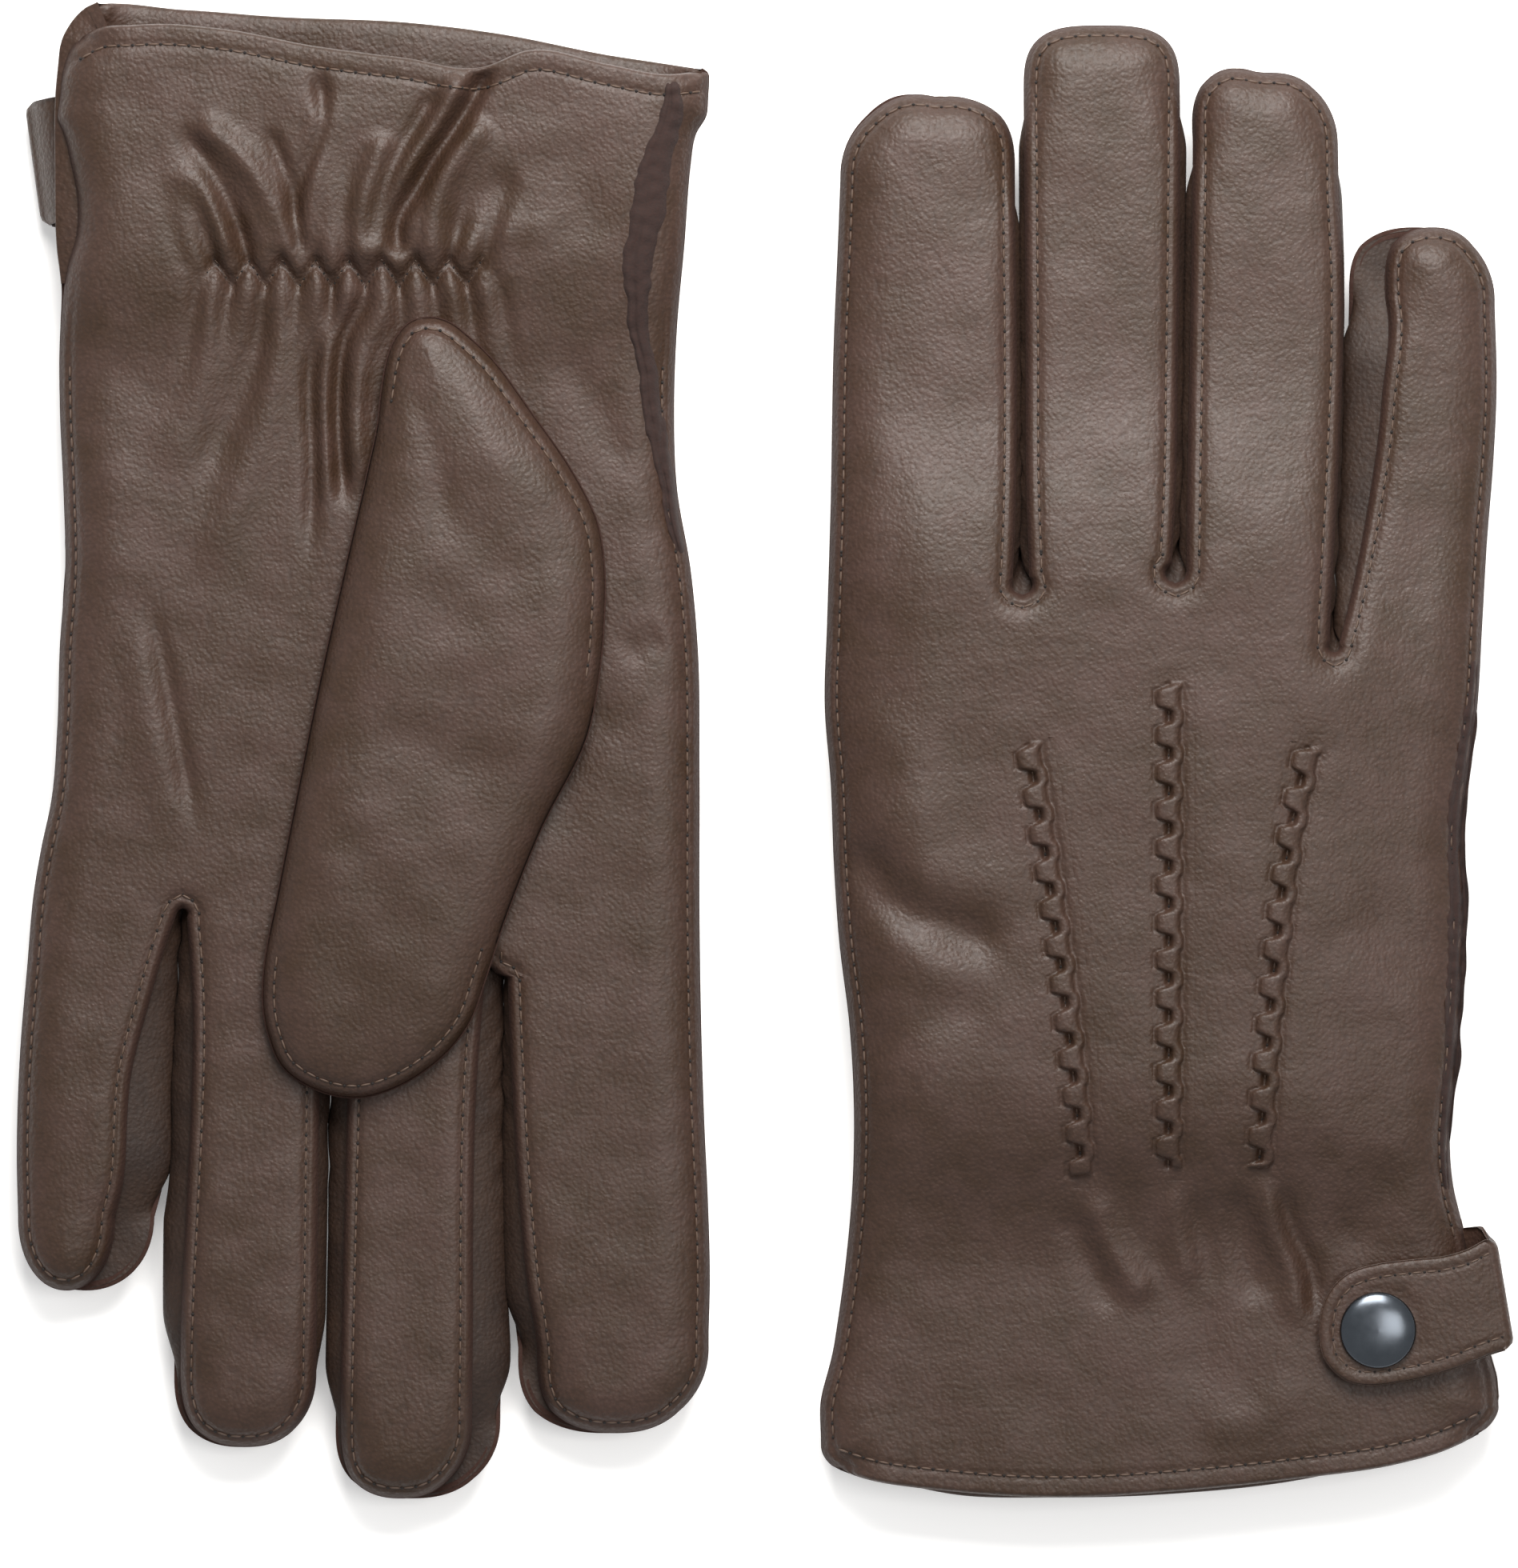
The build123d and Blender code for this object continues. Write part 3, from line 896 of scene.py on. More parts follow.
@dataclass(frozen=True)
class PlainFinish:
    """A finish with fine noise in its colour, roughness and surface."""

    name: str
    dark: str
    light: str
    roughness: float
    metallic: float = 0.0
    grain_mm: float = 0.4
    height: float = 0.03

    def material(self) -> bpy.types.Material:
        """Makes the material.

        Returns:
            The material.
        """
        mat = bpy.data.materials.new(self.name)
        mat.use_nodes = True
        t = mat.node_tree
        t.nodes.clear()
        place = add_node(t, "ShaderNodeTexCoord").outputs["Object"]
        noise = add_node(t, "ShaderNodeTexNoise", {"Vector": place, "Scale": 1 / (self.grain_mm * MM),
                                                   "Detail": 4.0, "Roughness": 0.6})
        tint = add_node(t, "ShaderNodeMixRGB", {"Fac": noise.outputs["Fac"], "Color1": linear(self.dark),
                                                "Color2": linear(self.light)})
        rough = add_node(t, "ShaderNodeMapRange",
                         {"Value": noise.outputs["Fac"], "To Min": self.roughness - 0.05,
                                                   "To Max": self.roughness + 0.05})
        bump = add_node(t, "ShaderNodeBump", {"Height": noise.outputs["Fac"], "Strength": 1.0,
                                              "Distance": self.height * MM})
        shader = add_node(t, "ShaderNodeBsdfPrincipled", {"Base Color": tint.outputs[0],
                                                          "Roughness": rough.outputs[0],
                                                          "Normal": bump.outputs[0],
                                                          "Metallic": self.metallic})
        add_node(t, "ShaderNodeOutputMaterial", {"Surface": shader.outputs[0]})
        return mat


@dataclass
class Finishes:
    """Every material of the pair."""

    leather: bpy.types.Material
    side_leather: bpy.types.Material
    suede: bpy.types.Material
    thread: bpy.types.Material
    hole: bpy.types.Material
    lining: bpy.types.Material
    elastic: bpy.types.Material
    gunmetal: bpy.types.Material
    nickel: bpy.types.Material

    @classmethod
    def make(cls) -> Finishes:
        """Makes them all.

        Returns:
            The materials.
        """
        return cls(
            leather=GlazedLeather("glazed_hair_sheep", "#302014", "#3b2a23").material(),
            # The fourchettes and gussets: the same leather with its colour darkened as painted shade between
            # the fingers, and a rougher finish.
            side_leather=GlazedLeather("fourchette_leather", "#22150e", "#2e1f16", roughness=0.6).material(),
            suede=PlainFinish("raw_suede_edge", "#170b08", "#2b1610", 0.95, grain_mm=0.6,
                              height=0.15).material(),
            thread=PlainFinish("polyester_thread", "#36271c", "#4e3a2d", 0.6, grain_mm=0.15).material(),
            # A near-black finish for the beads at the needle holes: painted shade inside the holes.
            hole=PlainFinish("needle_hole", "#0c0705", "#140c09", 0.9, grain_mm=0.2).material(),
            lining=PlainFinish("knitted_lining", "#2b2a24", "#3f3e36", 0.95, grain_mm=0.8,
                               height=0.2).material(),
            elastic=PlainFinish("woven_elastic", "#2a221c", "#3a3029", 0.85, grain_mm=0.6,
                                height=0.1).material(),
            gunmetal=PlainFinish("polished_gunmetal", "#464b51", "#565b61", 0.24, metallic=1.0, grain_mm=2.0,
                                 height=0.002).material(),
            nickel=PlainFinish("nickel_plate", "#8f8c85", "#a8a59d", 0.3, metallic=1.0, grain_mm=2.0,
                               height=0.002).material(),
        )


class StitchRow:
    """The Geometry Nodes tree that lays thread stitches end to end along curves."""

    def __init__(self, thread: bpy.types.Material, hole: bpy.types.Material) -> None:
        """Builds the tree.

        Args:
            thread: The stitches' material.
            hole: The near-black material of the beads at the needle holes, painted shade inside the holes.
        """
        tree = bpy.data.node_groups.new("stitch_row", "GeometryNodeTree")
        face = tree.interface
        face.new_socket("Geometry", in_out="INPUT", socket_type="NodeSocketGeometry")
        self.pitch = face.new_socket("Pitch", in_out="INPUT", socket_type="NodeSocketFloat").identifier
        self.length = face.new_socket("Length", in_out="INPUT", socket_type="NodeSocketFloat").identifier
        self.radius = face.new_socket("Radius", in_out="INPUT", socket_type="NodeSocketFloat").identifier
        face.new_socket("Geometry", in_out="OUTPUT", socket_type="NodeSocketGeometry")
        given = add_node(tree, "NodeGroupInput").outputs
        points = add_node(tree, "GeometryNodeCurveToPoints",
                          {"Curve": given["Geometry"], "Length": given["Pitch"]},
                          mode="LENGTH")
        capsule = add_node(tree, "GeometryNodeMeshUVSphere", {"Segments": 6, "Rings": 6, "Radius": 1.0})
        turn = add_node(tree, "FunctionNodeAlignRotationToVector", {"Vector": points.outputs["Tangent"]},
                        axis="Z")
        half = add_node(tree, "ShaderNodeMath", {0: given["Length"], 1: 0.5}, operation="MULTIPLY")
        size = add_node(tree, "ShaderNodeCombineXYZ",
                        {0: given["Radius"], 1: given["Radius"], 2: half.outputs[0]})
        placed = add_node(tree, "GeometryNodeInstanceOnPoints", {
            "Points": points.outputs["Points"], "Instance": capsule.outputs["Mesh"],
            "Rotation": turn.outputs[0], "Scale": size.outputs[0]})
        dressed = add_node(tree, "GeometryNodeSetMaterial",
                           {"Geometry": placed.outputs[0], "Material": thread})
        # Dark beads between the stitches: painted shade that stands in for the needle holes.
        back = add_node(tree, "ShaderNodeMath", {0: given["Pitch"], 1: 0.5}, operation="MULTIPLY")
        step = add_node(tree, "ShaderNodeVectorMath",
                        {0: points.outputs["Tangent"], "Scale": back.outputs[0]},
                        operation="SCALE")
        moved = add_node(tree, "GeometryNodeSetPosition", {"Geometry": points.outputs["Points"],
                                                           "Offset": step.outputs[0]})
        wide = add_node(tree, "ShaderNodeMath", {0: given["Radius"], 1: 1.25}, operation="MULTIPLY")
        bead = add_node(tree, "ShaderNodeCombineXYZ",
                        {0: wide.outputs[0], 1: wide.outputs[0], 2: wide.outputs[0]})
        hole_shade_beads = add_node(tree, "GeometryNodeInstanceOnPoints", {
            "Points": moved.outputs[0], "Instance": capsule.outputs["Mesh"], "Rotation": turn.outputs[0],
            "Scale": bead.outputs[0]})
        dark = add_node(tree, "GeometryNodeSetMaterial", {"Geometry": hole_shade_beads.outputs[0], "Material": hole})
        both = add_node(tree, "GeometryNodeJoinGeometry")
        tree.links.new(dressed.outputs[0], both.inputs[0])
        tree.links.new(dark.outputs[0], both.inputs[0])
        real = add_node(tree, "GeometryNodeRealizeInstances", {"Geometry": both.outputs[0]})
        add_node(tree, "NodeGroupOutput", {0: real.outputs[0]})
        self.tree = tree
        self.thread = thread

    def sew(self, name: str, side: Side, paths: list[np.ndarray], pitch: float = STITCH_PITCH,
            length: float = 1.75, radius: float = 0.21) -> bpy.types.Object:
        """Sews rows of stitches.

        Args:
            name: The piece's name.
            side: Which glove it belongs to.
            paths: The rows, each an array of (x, y, z) in the glove's frame.
            pitch: The distance from one stitch to the next, in millimetres.
            length: Each stitch's length.
            radius: The thread's radius.

        Returns:
            The stitches as one mesh object at the origin.
        """
        curve = bpy.data.curves.new(name + "_path", "CURVE")
        curve.dimensions = "3D"
        for path in paths:
            row = curve.splines.new("POLY")
            row.points.add(len(path) - 1)
            world = side.to_world(path)
            row.points.foreach_set("co", np.column_stack([world, np.ones(len(world))]).ravel())
        holder = bpy.data.objects.new(name + "_path", curve)
        bpy.context.scene.collection.objects.link(holder)
        modifier = holder.modifiers.new("stitches", "NODES")
        modifier.node_group = self.tree
        modifier[self.pitch] = pitch * MM
        modifier[self.length] = length * MM
        modifier[self.radius] = radius * MM
        graph = bpy.context.evaluated_depsgraph_get()
        mesh = bpy.data.meshes.new_from_object(holder.evaluated_get(graph), depsgraph=graph)
        mesh.name = name
        bpy.data.objects.remove(holder)
        bpy.data.curves.remove(curve)
        if not mesh.materials:
            mesh.materials.append(self.thread)
        mesh.polygons.foreach_set("use_smooth", np.ones(len(mesh.polygons), bool))
        obj = bpy.data.objects.new(name, mesh)
        bpy.context.scene.collection.objects.link(obj)
        return obj


def lip_rings(path: np.ndarray, outward: np.ndarray, face: Face, thick: np.ndarray,
              hem: float = 1.4) -> np.ndarray:
    """The cut edge of a leather piece: down its thickness and back under it.

    Args:
        path: The edge's points, (x, y, z).
        outward: Unit normals away from the piece, (x, y).
        face: Back or palm.
        thick: The leather's thickness at each point.
        hem: How far it runs back under the piece.

    Returns:
        Rows of points: the edge, its lower corner and a line under the piece.
    """
    down = -face.value * thick
    n3 = np.column_stack([outward, np.zeros(len(outward))])
    rows = [path.copy()]
    for drop, out in ((0.15, 0.10), (0.85, 0.12), (1.0, -0.05), (1.05, -hem)):
        ring = path + n3 * out
        ring[:, 2] += down * drop
        rows.append(ring)
    return np.array(rows)


class GloveBuilder:
    """Makes the pieces of one glove and tells the frame what they ride on and replace."""

    def __init__(self, cut: GloveCut, finishes: Finishes, stitches: StitchRow) -> None:
        """Prepares both faces.

        Args:
            cut: The glove's shape.
            finishes: The materials.
            stitches: The tool that sews.
        """
        self.cut = cut
        self.side = cut.side
        self.word = cut.side.word
        self.fin = finishes
        self.stitches = stitches
        self.sheets = {face: Sheet(cut, face) for face in Face}
        self.grids: dict[Face, list[np.ndarray]] = {face: [] for face in Face}
        self.rims: dict[Face, list[np.ndarray]] = {face: [] for face in Face}
        self.gussets = MeshParts()
        self.side_strips = {f.name: MeshParts() for f in cut.fingers}
        for face in Face:
            for grid in self.sheets[face].strips:
                self.surface(face, grid)

    def surface(self, face: Face, grid: np.ndarray) -> None:
        """Gives a strip's grid its heights, and notes how near each point is to the cut rim.

        Args:
            face: Back or palm.
            grid: The points, rows by columns.
        """
        flat = grid.reshape(-1, 2)
        z, d = self.sheets[face].height_and_distance(flat)
        self.grids[face].append(np.column_stack([flat, z]).reshape(*grid.shape[:2], 3))
        self.rims[face].append((0.8 * (1 - smooth(0.15, 1.2, d))).reshape(grid.shape[:2]))

    def body(self, name: str) -> str:
        """The full name of one of this glove's bodies."""
        return f"{self.word}_{name}"

    def bend_with(self, piece: bpy.types.Object, finger: FingerCut) -> None:
        """Bakes a piece's place into its mesh; the points across the finger's bend line are worked out but
        not used.

        Args:
            piece: The piece.
            finger: The finger.
        """
        first = max(finger.bend_y - 11, SPLIT_Y + 0.5)
        points = self.side.to_world([(0, first, 6.5), (0, finger.bend_y + 11, 6.5)])
        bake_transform(piece)

    def hem_rows(self, face: Face, grid: np.ndarray) -> np.ndarray:
        """The cuff's turned-in hem, as rows that run from inside out to the cuff edge.

        Args:
            face: Back or palm.
            grid: A strip's points.

        Returns:
            Rows by columns by (x, y, z).
        """
        sheet = self.sheets[face]
        first = grid[0, :, :2]
        rows = []
        for inward, depth in ((8.5, 1.9), (5.0, 1.95), (2.5, 1.9), (0.9, 1.8), (0.25, 1.5), (0.03, 1.15)):
            xy = first + (0, inward)
            z = sheet.height(np.column_stack([xy[:, 0], np.maximum(xy[:, 1], first[:, 1] + 1.0)]))
            rows.append(np.column_stack([xy, z - face.value * depth]))
        return np.array(rows)

    def hand_face(self, face: Face) -> None:
        """Makes the hand part of one face, with its hem and its cut edges.

        Args:
            face: Back or palm.
        """
        sheet = self.sheets[face]
        n = len(sheet.hand_rows)
        parts = MeshParts()
        flip = face is Face.PALM
        for i, grid in enumerate(self.grids[face]):
            hem = self.hem_rows(face, grid)
            whole = np.concatenate([hem, grid[:n]])
            rim = np.concatenate([np.zeros(hem.shape[:2]), self.rims[face][i][:n]])
            parts.add_grid(whole, flip=flip, edge=rim)
        lips = MeshParts()
        for i, grid in enumerate(self.grids[face]):
            for column, way, k in ((0, 1.0, i), (-1, -1.0, i + 1)):
                start = 0.0 if k in (0, 4) else sheet.cut.crotches[k - 1].at(face)[1]
                keep = sheet.hand_rows >= start - 0.01
                if keep.sum() < 2:
                    continue
                path = grid[:n, column][keep]
                outward = way * normals_2d(path[:, :2])
                rings = lip_rings(path, outward, face,
                                  np.full(len(path), SIDE_EDGE if k in (0, 4) else LEATHER))
                vent = int(np.searchsorted(sheet.hand_rows, 46.0)) if k == 4 else 0
                turned = flip == (way > 0)
                if vent:
                    hem = lip_rings(path, outward, face, np.full(len(path), 1.7), hem=6.0)
                    parts.add_grid(hem[:, :vent + 1], flip=turned)
                lips.add_grid(rings[:, vent:], flip=turned, edge=1.0)
        name = f"{self.word}_{'back' if face is Face.BACK else 'palm'}_of_hand"
        obj = self.join(name, parts, lips)
        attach(obj, self.body("hand"))
        node = "back_panel" if face is Face.BACK else "palm_panel"
        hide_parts(self.body(node))
        LOG.info("%s: %d faces", name, len(obj.data.polygons))

    def join(self, name: str, shape: MeshParts, lips: MeshParts) -> bpy.types.Object:
        """Joins a sheet and its cut edges into one object, merging within each.

        Args:
            name: The piece's name.
            shape: The sheet.
            lips: The cut edges.

        Returns:
            The piece, as an object at the origin.
        """
        first = shape.build(name, self.side, (self.fin.leather, self.fin.suede), merge=MERGE)
        if not lips.faces:
            return first
        second = lips.build(name + "_lip", self.side, (self.fin.suede, self.fin.suede), merge=MERGE)
        second.data.polygons.foreach_set("material_index", np.ones(len(second.data.polygons), np.int32))
        second.data.materials.clear()
        for m in (self.fin.leather, self.fin.suede):
            second.data.materials.append(m)
        with bpy.context.temp_override(active_object=first, selected_editable_objects=[first, second]):
            bpy.ops.object.join()
        return first

    def finger_face(self, i: int, face: Face) -> None:
        """Makes one finger's strip on one face.

        Args:
            i: Which finger, from the thumb side.
            face: Back or palm.
        """
        sheet = self.sheets[face]
        finger = self.cut.fingers[i]
        n = len(sheet.hand_rows)
        grid = self.grids[face][i]
        flip = face is Face.PALM
        parts = MeshParts()
        parts.add_grid(grid[n - 1:], flip=flip, edge=self.rims[face][i][n - 1:])
        path = np.concatenate([grid[n - 1:, 0], grid[-1, 1:-1], grid[n - 1:, -1][::-1]])
        outward = normals_2d(path[:, :2])
        rows = len(grid) - n + 1
        tip = smooth(finger.tip_y - 22, finger.tip_y - 8, path[:, 1])
        thick = LEATHER - 0.35 * tip
        if i == 0:
            thick[:rows] = SIDE_EDGE
        if i == 3:
            thick[-rows:] = SIDE_EDGE
        lips = MeshParts()
        lips.add_grid(lip_rings(path, outward, face, thick), flip=not flip, edge=1.0)
        word = "back" if face is Face.BACK else "palm"
        obj = self.join(f"{self.word}_{finger.name}_{word}_strip", parts, lips)
        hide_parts(self.body(f"{finger.name}_{word}"))
        self.bend_with(obj, finger)

    def leg(self, face: Face, k: int, left_finger: bool, count: int) -> np.ndarray:
        """A strip's edge beside a slit, from the crotch to where the fingertip is nearly round.

        Args:
            face: Back or palm.
            k: Which slit, from 1 to 3.
            left_finger: Whether it is the finger to the slit's left.
            count: How many points to return.

        Returns:
            Points on the leather's outside, closer together at the crotch.
        """
        i = k - 1 if left_finger else k
        grid = self.grids[face][i]
        line = grid[:, -1 if left_finger else 0]
        n = len(self.sheets[face].hand_rows)
        cy = self.cut.crotches[k - 1].at(face)[1]
        levels = np.concatenate([self.sheets[face].hand_rows, line[n:, 1]])
        tip = grid[-1, ::-1] if left_finger else grid[-1]
        tip = tip[1:int(len(tip) * 0.48)]
        line = np.concatenate([line[levels >= cy - 0.01], tip])
        run = np.concatenate([[0], np.cumsum(np.linalg.norm(np.diff(line, axis=0), axis=1))])
        at = np.linspace(0, 1, count) ** 1.3 * run[-1]
        return np.column_stack([np.interp(at, run, line[:, c]) for c in range(3)])

    def fourchettes(self, k: int) -> None:
        """Makes the side strip that runs down one finger, round the crotch and up the next.

        Args:
            k: Which slit, from 1 to 3.
        """
        count = int(100 / STEP)
        halves = {f: [self.leg(f, k, left, count) for left in (True, False)] for f in Face}
        top = np.concatenate([halves[Face.BACK][0][::-1], halves[Face.BACK][1][1:]])
        low = np.concatenate([halves[Face.PALM][0][::-1], halves[Face.PALM][1][1:]])
        middle = (top + low) / 2
        normal = normals_2d(middle[:, :2])
        for _ in range(3):
            normal[1:-1] = (normal[:-2] + normal[1:-1] * 2 + normal[2:]) / 4
        normal /= np.maximum(np.linalg.norm(normal, axis=1, keepdims=True), 1e-6)
        a, b = self.cut.fingers[k - 1], self.cut.fingers[k]
        y = middle[:, 1]
        first = np.arange(len(top)) < count
        gap = np.clip(spline(b.left, y) - spline(a.right, y), 0.2, 4.0)
        fill = np.clip(gap / 2 - 0.05, 0.0, 2.0)
        past = np.abs(np.gradient(middle[:, 1])) < 0.75 * np.abs(np.gradient(middle[:, 0]))
        outline = np.where(first, spline(a.right, y) - middle[:, 0], middle[:, 0] - spline(b.left, y)) + fill
        tip = np.where(first, a.tip_start, b.tip_start)
        from_crotch = np.abs(np.arange(len(top)) - (count - 1)) / (count - 1)
        bulge = np.clip(outline, -0.4, 4.0) * smooth(0.01, 0.08, from_crotch) * (1 - smooth(-10, 2, y - tip))
        bulge = np.where(past & (from_crotch > 0.5), 0.0, bulge)
        bulge -= 0.4 * (1 - smooth(0.0, 0.05, from_crotch))
        way = np.where(first, 1.0, -1.0)
        rows = []
        for t in np.linspace(0, 1, 13):
            p = top * (1 - t) + low * t
            p[:, 2] += LEATHER * 0.7 * (2 * t - 1)
            hump = 4 * t * (1 - t)
            ripple = soft_noise(y + 30 * k, np.full(len(top), t * 9), 7, 3 + k)
            ripple *= 0.26 * way * (1 - smooth(-50, -20, y - tip))
            push = hump * (bulge + ripple + 0.55) - 0.55
            p[:, :2] += normal * push[:, None]
            rows.append(p)
        whole = np.array(rows)
        split = int(np.searchsorted(middle[count - 1:, 1], SPLIT_Y))
        low_end, high_end = count - 1 - split, count - 1 + split
        self.gussets.add_grid(whole[:, low_end:high_end + 1])
        self.side_strips[a.name].add_grid(whole[:, :low_end + 1])
        self.side_strips[b.name].add_grid(whole[:, high_end:])

    def all_fourchettes(self) -> None:
        """Makes the side strips of all fingers and the crotch gussets."""
        for k in (1, 2, 3):
            self.fourchettes(k)
        obj = self.gussets.build(self.body("gussets"), self.side, (self.fin.side_leather,))
        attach(obj, self.body("hand"))
        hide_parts(self.body("crotch_gussets"))
        for finger in self.cut.fingers:
            strip = self.side_strips[finger.name].build(
                self.body(f"{finger.name}_side_strips"), self.side, (self.fin.side_leather,))
            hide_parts(self.body(f"{finger.name}_fourchette"))
            self.bend_with(strip, finger)

    def offset_row(self, face: Face, path: np.ndarray, inward: float, lift: float = 0.13) -> np.ndarray:
        """A stitch row beside an edge.

        Args:
            face: Back or palm.
            path: The edge's points (x, y), with the piece to the left of its direction.
            inward: How far the row lies from the edge.
            lift: How far the thread's middle stands above the leather.

        Returns:
            The row's points (x, y, z).
        """
        xy = path + normals_2d(path) * inward
        run = np.concatenate([[0], np.cumsum(np.linalg.norm(np.diff(path, axis=0), axis=1))])
        keep = np.interp(np.arange(0, run[-1], 0.8), run, np.arange(len(path)))
        xy = np.column_stack([np.interp(keep, np.arange(len(xy)), xy[:, c]) for c in (0, 1)])
        z = self.sheets[face].height(xy)
        return np.column_stack([xy, z + face.value * lift])

    def sew_face(self, face: Face) -> None:
        """Sews the rows of one face: along the fingers, round the crotches, down the sides and the hem.

        Args:
            face: Back or palm.
        """
        sheet = self.sheets[face]
        n = len(sheet.hand_rows)
        hand_rows = []
        for i, grid in enumerate(sheet.strips):
            finger = self.cut.fingers[i]
            path = np.concatenate([grid[n - 1:, -1], grid[-1, 1:-1][::-1], grid[n - 1:, 0][::-1]])
            row = self.offset_row(face, path, STITCH_IN)
            word = "back" if face is Face.BACK else "palm"
            obj = self.stitches.sew(self.body(f"{finger.name}_{word}_stitches"), self.side, [row])
            self.bend_with(obj, finger)
            for column, k in ((0, i), (-1, i + 1)):
                if k in (0, 4):
                    start = 60.0 if face is Face.PALM else (SNAP_CENTRE[1] + 16 if k == 4 else 6.0)
                else:
                    start = sheet.cut.crotches[k - 1].at(face)[1]
                keep = sheet.hand_rows >= start
                if keep.sum() < 3:
                    continue
                edge = grid[:n, column][keep]
                edge = edge[::-1] if column == 0 else edge
                hand_rows.append(self.offset_row(face, edge, STITCH_IN))
        lo, hi = (float(spline(c, np.array([5.0]))[0]) for c in (self.cut.radial, self.cut.ulnar))
        x = np.linspace(lo + 2.5, hi - 2.5, 90)
        hem = np.column_stack([x, spline(sheet.cuff, x)])
        hand_rows.append(self.offset_row(face, hem, HEM_IN))
        word = "back" if face is Face.BACK else "palm"
        obj = self.stitches.sew(self.body(f"{word}_stitches"), self.side, hand_rows)
        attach(obj, self.body("hand"))

    def lining_slab(self, parts: MeshParts, x: np.ndarray, y: np.ndarray) -> None:
        """Adds the lining behind both faces over a grid of places.

        Args:
            parts: Where it is added.
            x: Places across, rows by columns.
            y: Places along, rows by columns.
        """
        flat = np.column_stack([x.ravel(), y.ravel()])
        back = self.sheets[Face.BACK].height(flat)
        palm = self.sheets[Face.PALM].height(flat)
        middle = (back + palm) / 2
        layers = []
        for depth, gap in ((1.6, 1.1), (2.2, 0.5)):
            layers.append(np.maximum(back - depth, middle + gap))
            layers.append(np.minimum(palm + depth, middle - gap))
        shape = (*x.shape, 3)
        outer_back, outer_palm, inner_back, inner_palm = (
            np.column_stack([flat, z]).reshape(shape) for z in layers)
        parts.add_grid(outer_back)
        parts.add_grid(outer_palm, flip=True)
        parts.add_grid(inner_back, flip=True)
        parts.add_grid(inner_palm)
        for column, flip in ((0, True), (-1, False)):
            parts.add_grid(np.stack([outer_back[:, column], outer_palm[:, column]]), flip=not flip)
        parts.add_grid(np.stack([outer_back[0], inner_back[0]]), flip=True)
        parts.add_grid(np.stack([outer_palm[0], inner_palm[0]]))
        parts.add_grid(np.stack([outer_back[-1], outer_palm[-1]]))

    def linings(self) -> None:
        """Makes the knitted lining of the hand and of each finger."""
        y = np.arange(7.0, 137.0, 1.5)
        u = np.linspace(0, 1, 60)
        u = u - 0.5 * u * (1 - u) ** 2 + 0.5 * (1 - u) * u**2
        left = np.maximum(spline(self.cut.radial, y), -58) + 1.5
        vent = spline(self.sheets[Face.PALM].side_line, y) - 3.0 * (1 - smooth(44, 50, y))
        right = np.minimum(spline(self.cut.ulnar, y), vent) - 1.5
        x = left[:, None] + (right - left)[:, None] * u
        cuff = np.maximum(spline(self.cut.cuff_back, x), spline(self.cut.cuff_palm, x))
        yy = y[:, None] + cuff * (1 - smooth(0, 30, y))[:, None]
        hand = MeshParts()
        self.lining_slab(hand, x, yy)
        obj = hand.build(self.body("knitted_hand_lining"), self.side, (self.fin.lining,), merge=MERGE)
        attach(obj, self.body("hand"))
        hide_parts(self.body("hand_lining"))
        for i, finger in enumerate(self.cut.fingers):
            rows = np.arange(134.0, finger.tip_start, 1.5)
            sides = []
            for k, left_finger, way in ((i, False, 1.0), (i + 1, True, -1.0)):
                edges = [sheet.boundary(k, rows, left_finger) for sheet in self.sheets.values()]
                if k in (0, 4):
                    edges = [finger.edges(face, rows)[0 if k == 0 else 1] for face in Face]
                sides.append((np.maximum(*edges) if way > 0 else np.minimum(*edges)) + 1.6 * way)
            u = np.linspace(0, 1, 18)
            x = sides[0][:, None] + (sides[1] - sides[0])[:, None] * u
            y2 = np.broadcast_to(rows[:, None], x.shape)
            centre, half = (x[-1, 0] + x[-1, -1]) / 2, (x[-1, -1] - x[-1, 0]) / 2
            caps_x, caps_y = [], []
            for v in (0.2, 0.4, 0.6, 0.75, 0.88, 1.0):
                w = 2 * u - 1
                caps_x.append(centre + half * w * math.sqrt(1 - v * v / 2))
                caps_y.append(rows[-1] + (finger.tip_reach - 1.6) * v * np.sqrt(1 - w * w / 2))
            parts = MeshParts()
            self.lining_slab(parts, np.concatenate([x, caps_x]), np.concatenate([y2, caps_y]))
            obj = parts.build(self.body(f"{finger.name}_knitted_lining"), self.side, (self.fin.lining,),
                              merge=MERGE)
            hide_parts(self.body(f"{finger.name}_lining"))
            self.bend_with(obj, finger)

    def thumb(self) -> None:
        """Makes the folded thumb: its leather, its stitches and its lining."""
        thumb = Thumb(self.cut)
        obj = thumb.leather(self.fin)
        self.bend_thumb(obj)
        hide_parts(self.body("thumb_leather"))
        obj = self.stitches.sew(self.body("thumb_stitches"), self.side, thumb.rows())
        self.bend_thumb(obj)
        obj = thumb.lining(self.fin)
        self.bend_thumb(obj)
        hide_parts(self.body("thumb_lining"))

    def bend_thumb(self, piece: bpy.types.Object) -> None:
        """Bakes a piece's place into its mesh; the points across the thumb's seam are worked out but not
        used.

        Args:
            piece: The piece.
        """
        px, py = THUMB_AXIS_POINT
        ax, ay = THUMB_AXIS_DIRECTION
        z = HUMP - 2.0 if self.side is Side.RIGHT else -2.0
        a = (px - 2.0 * ay, py + 2.0 * ax, z)
        b = (px + 8.0 * ay, py - 8.0 * ax, z)
        start, end = self.side.to_world([a, b])
        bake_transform(piece)

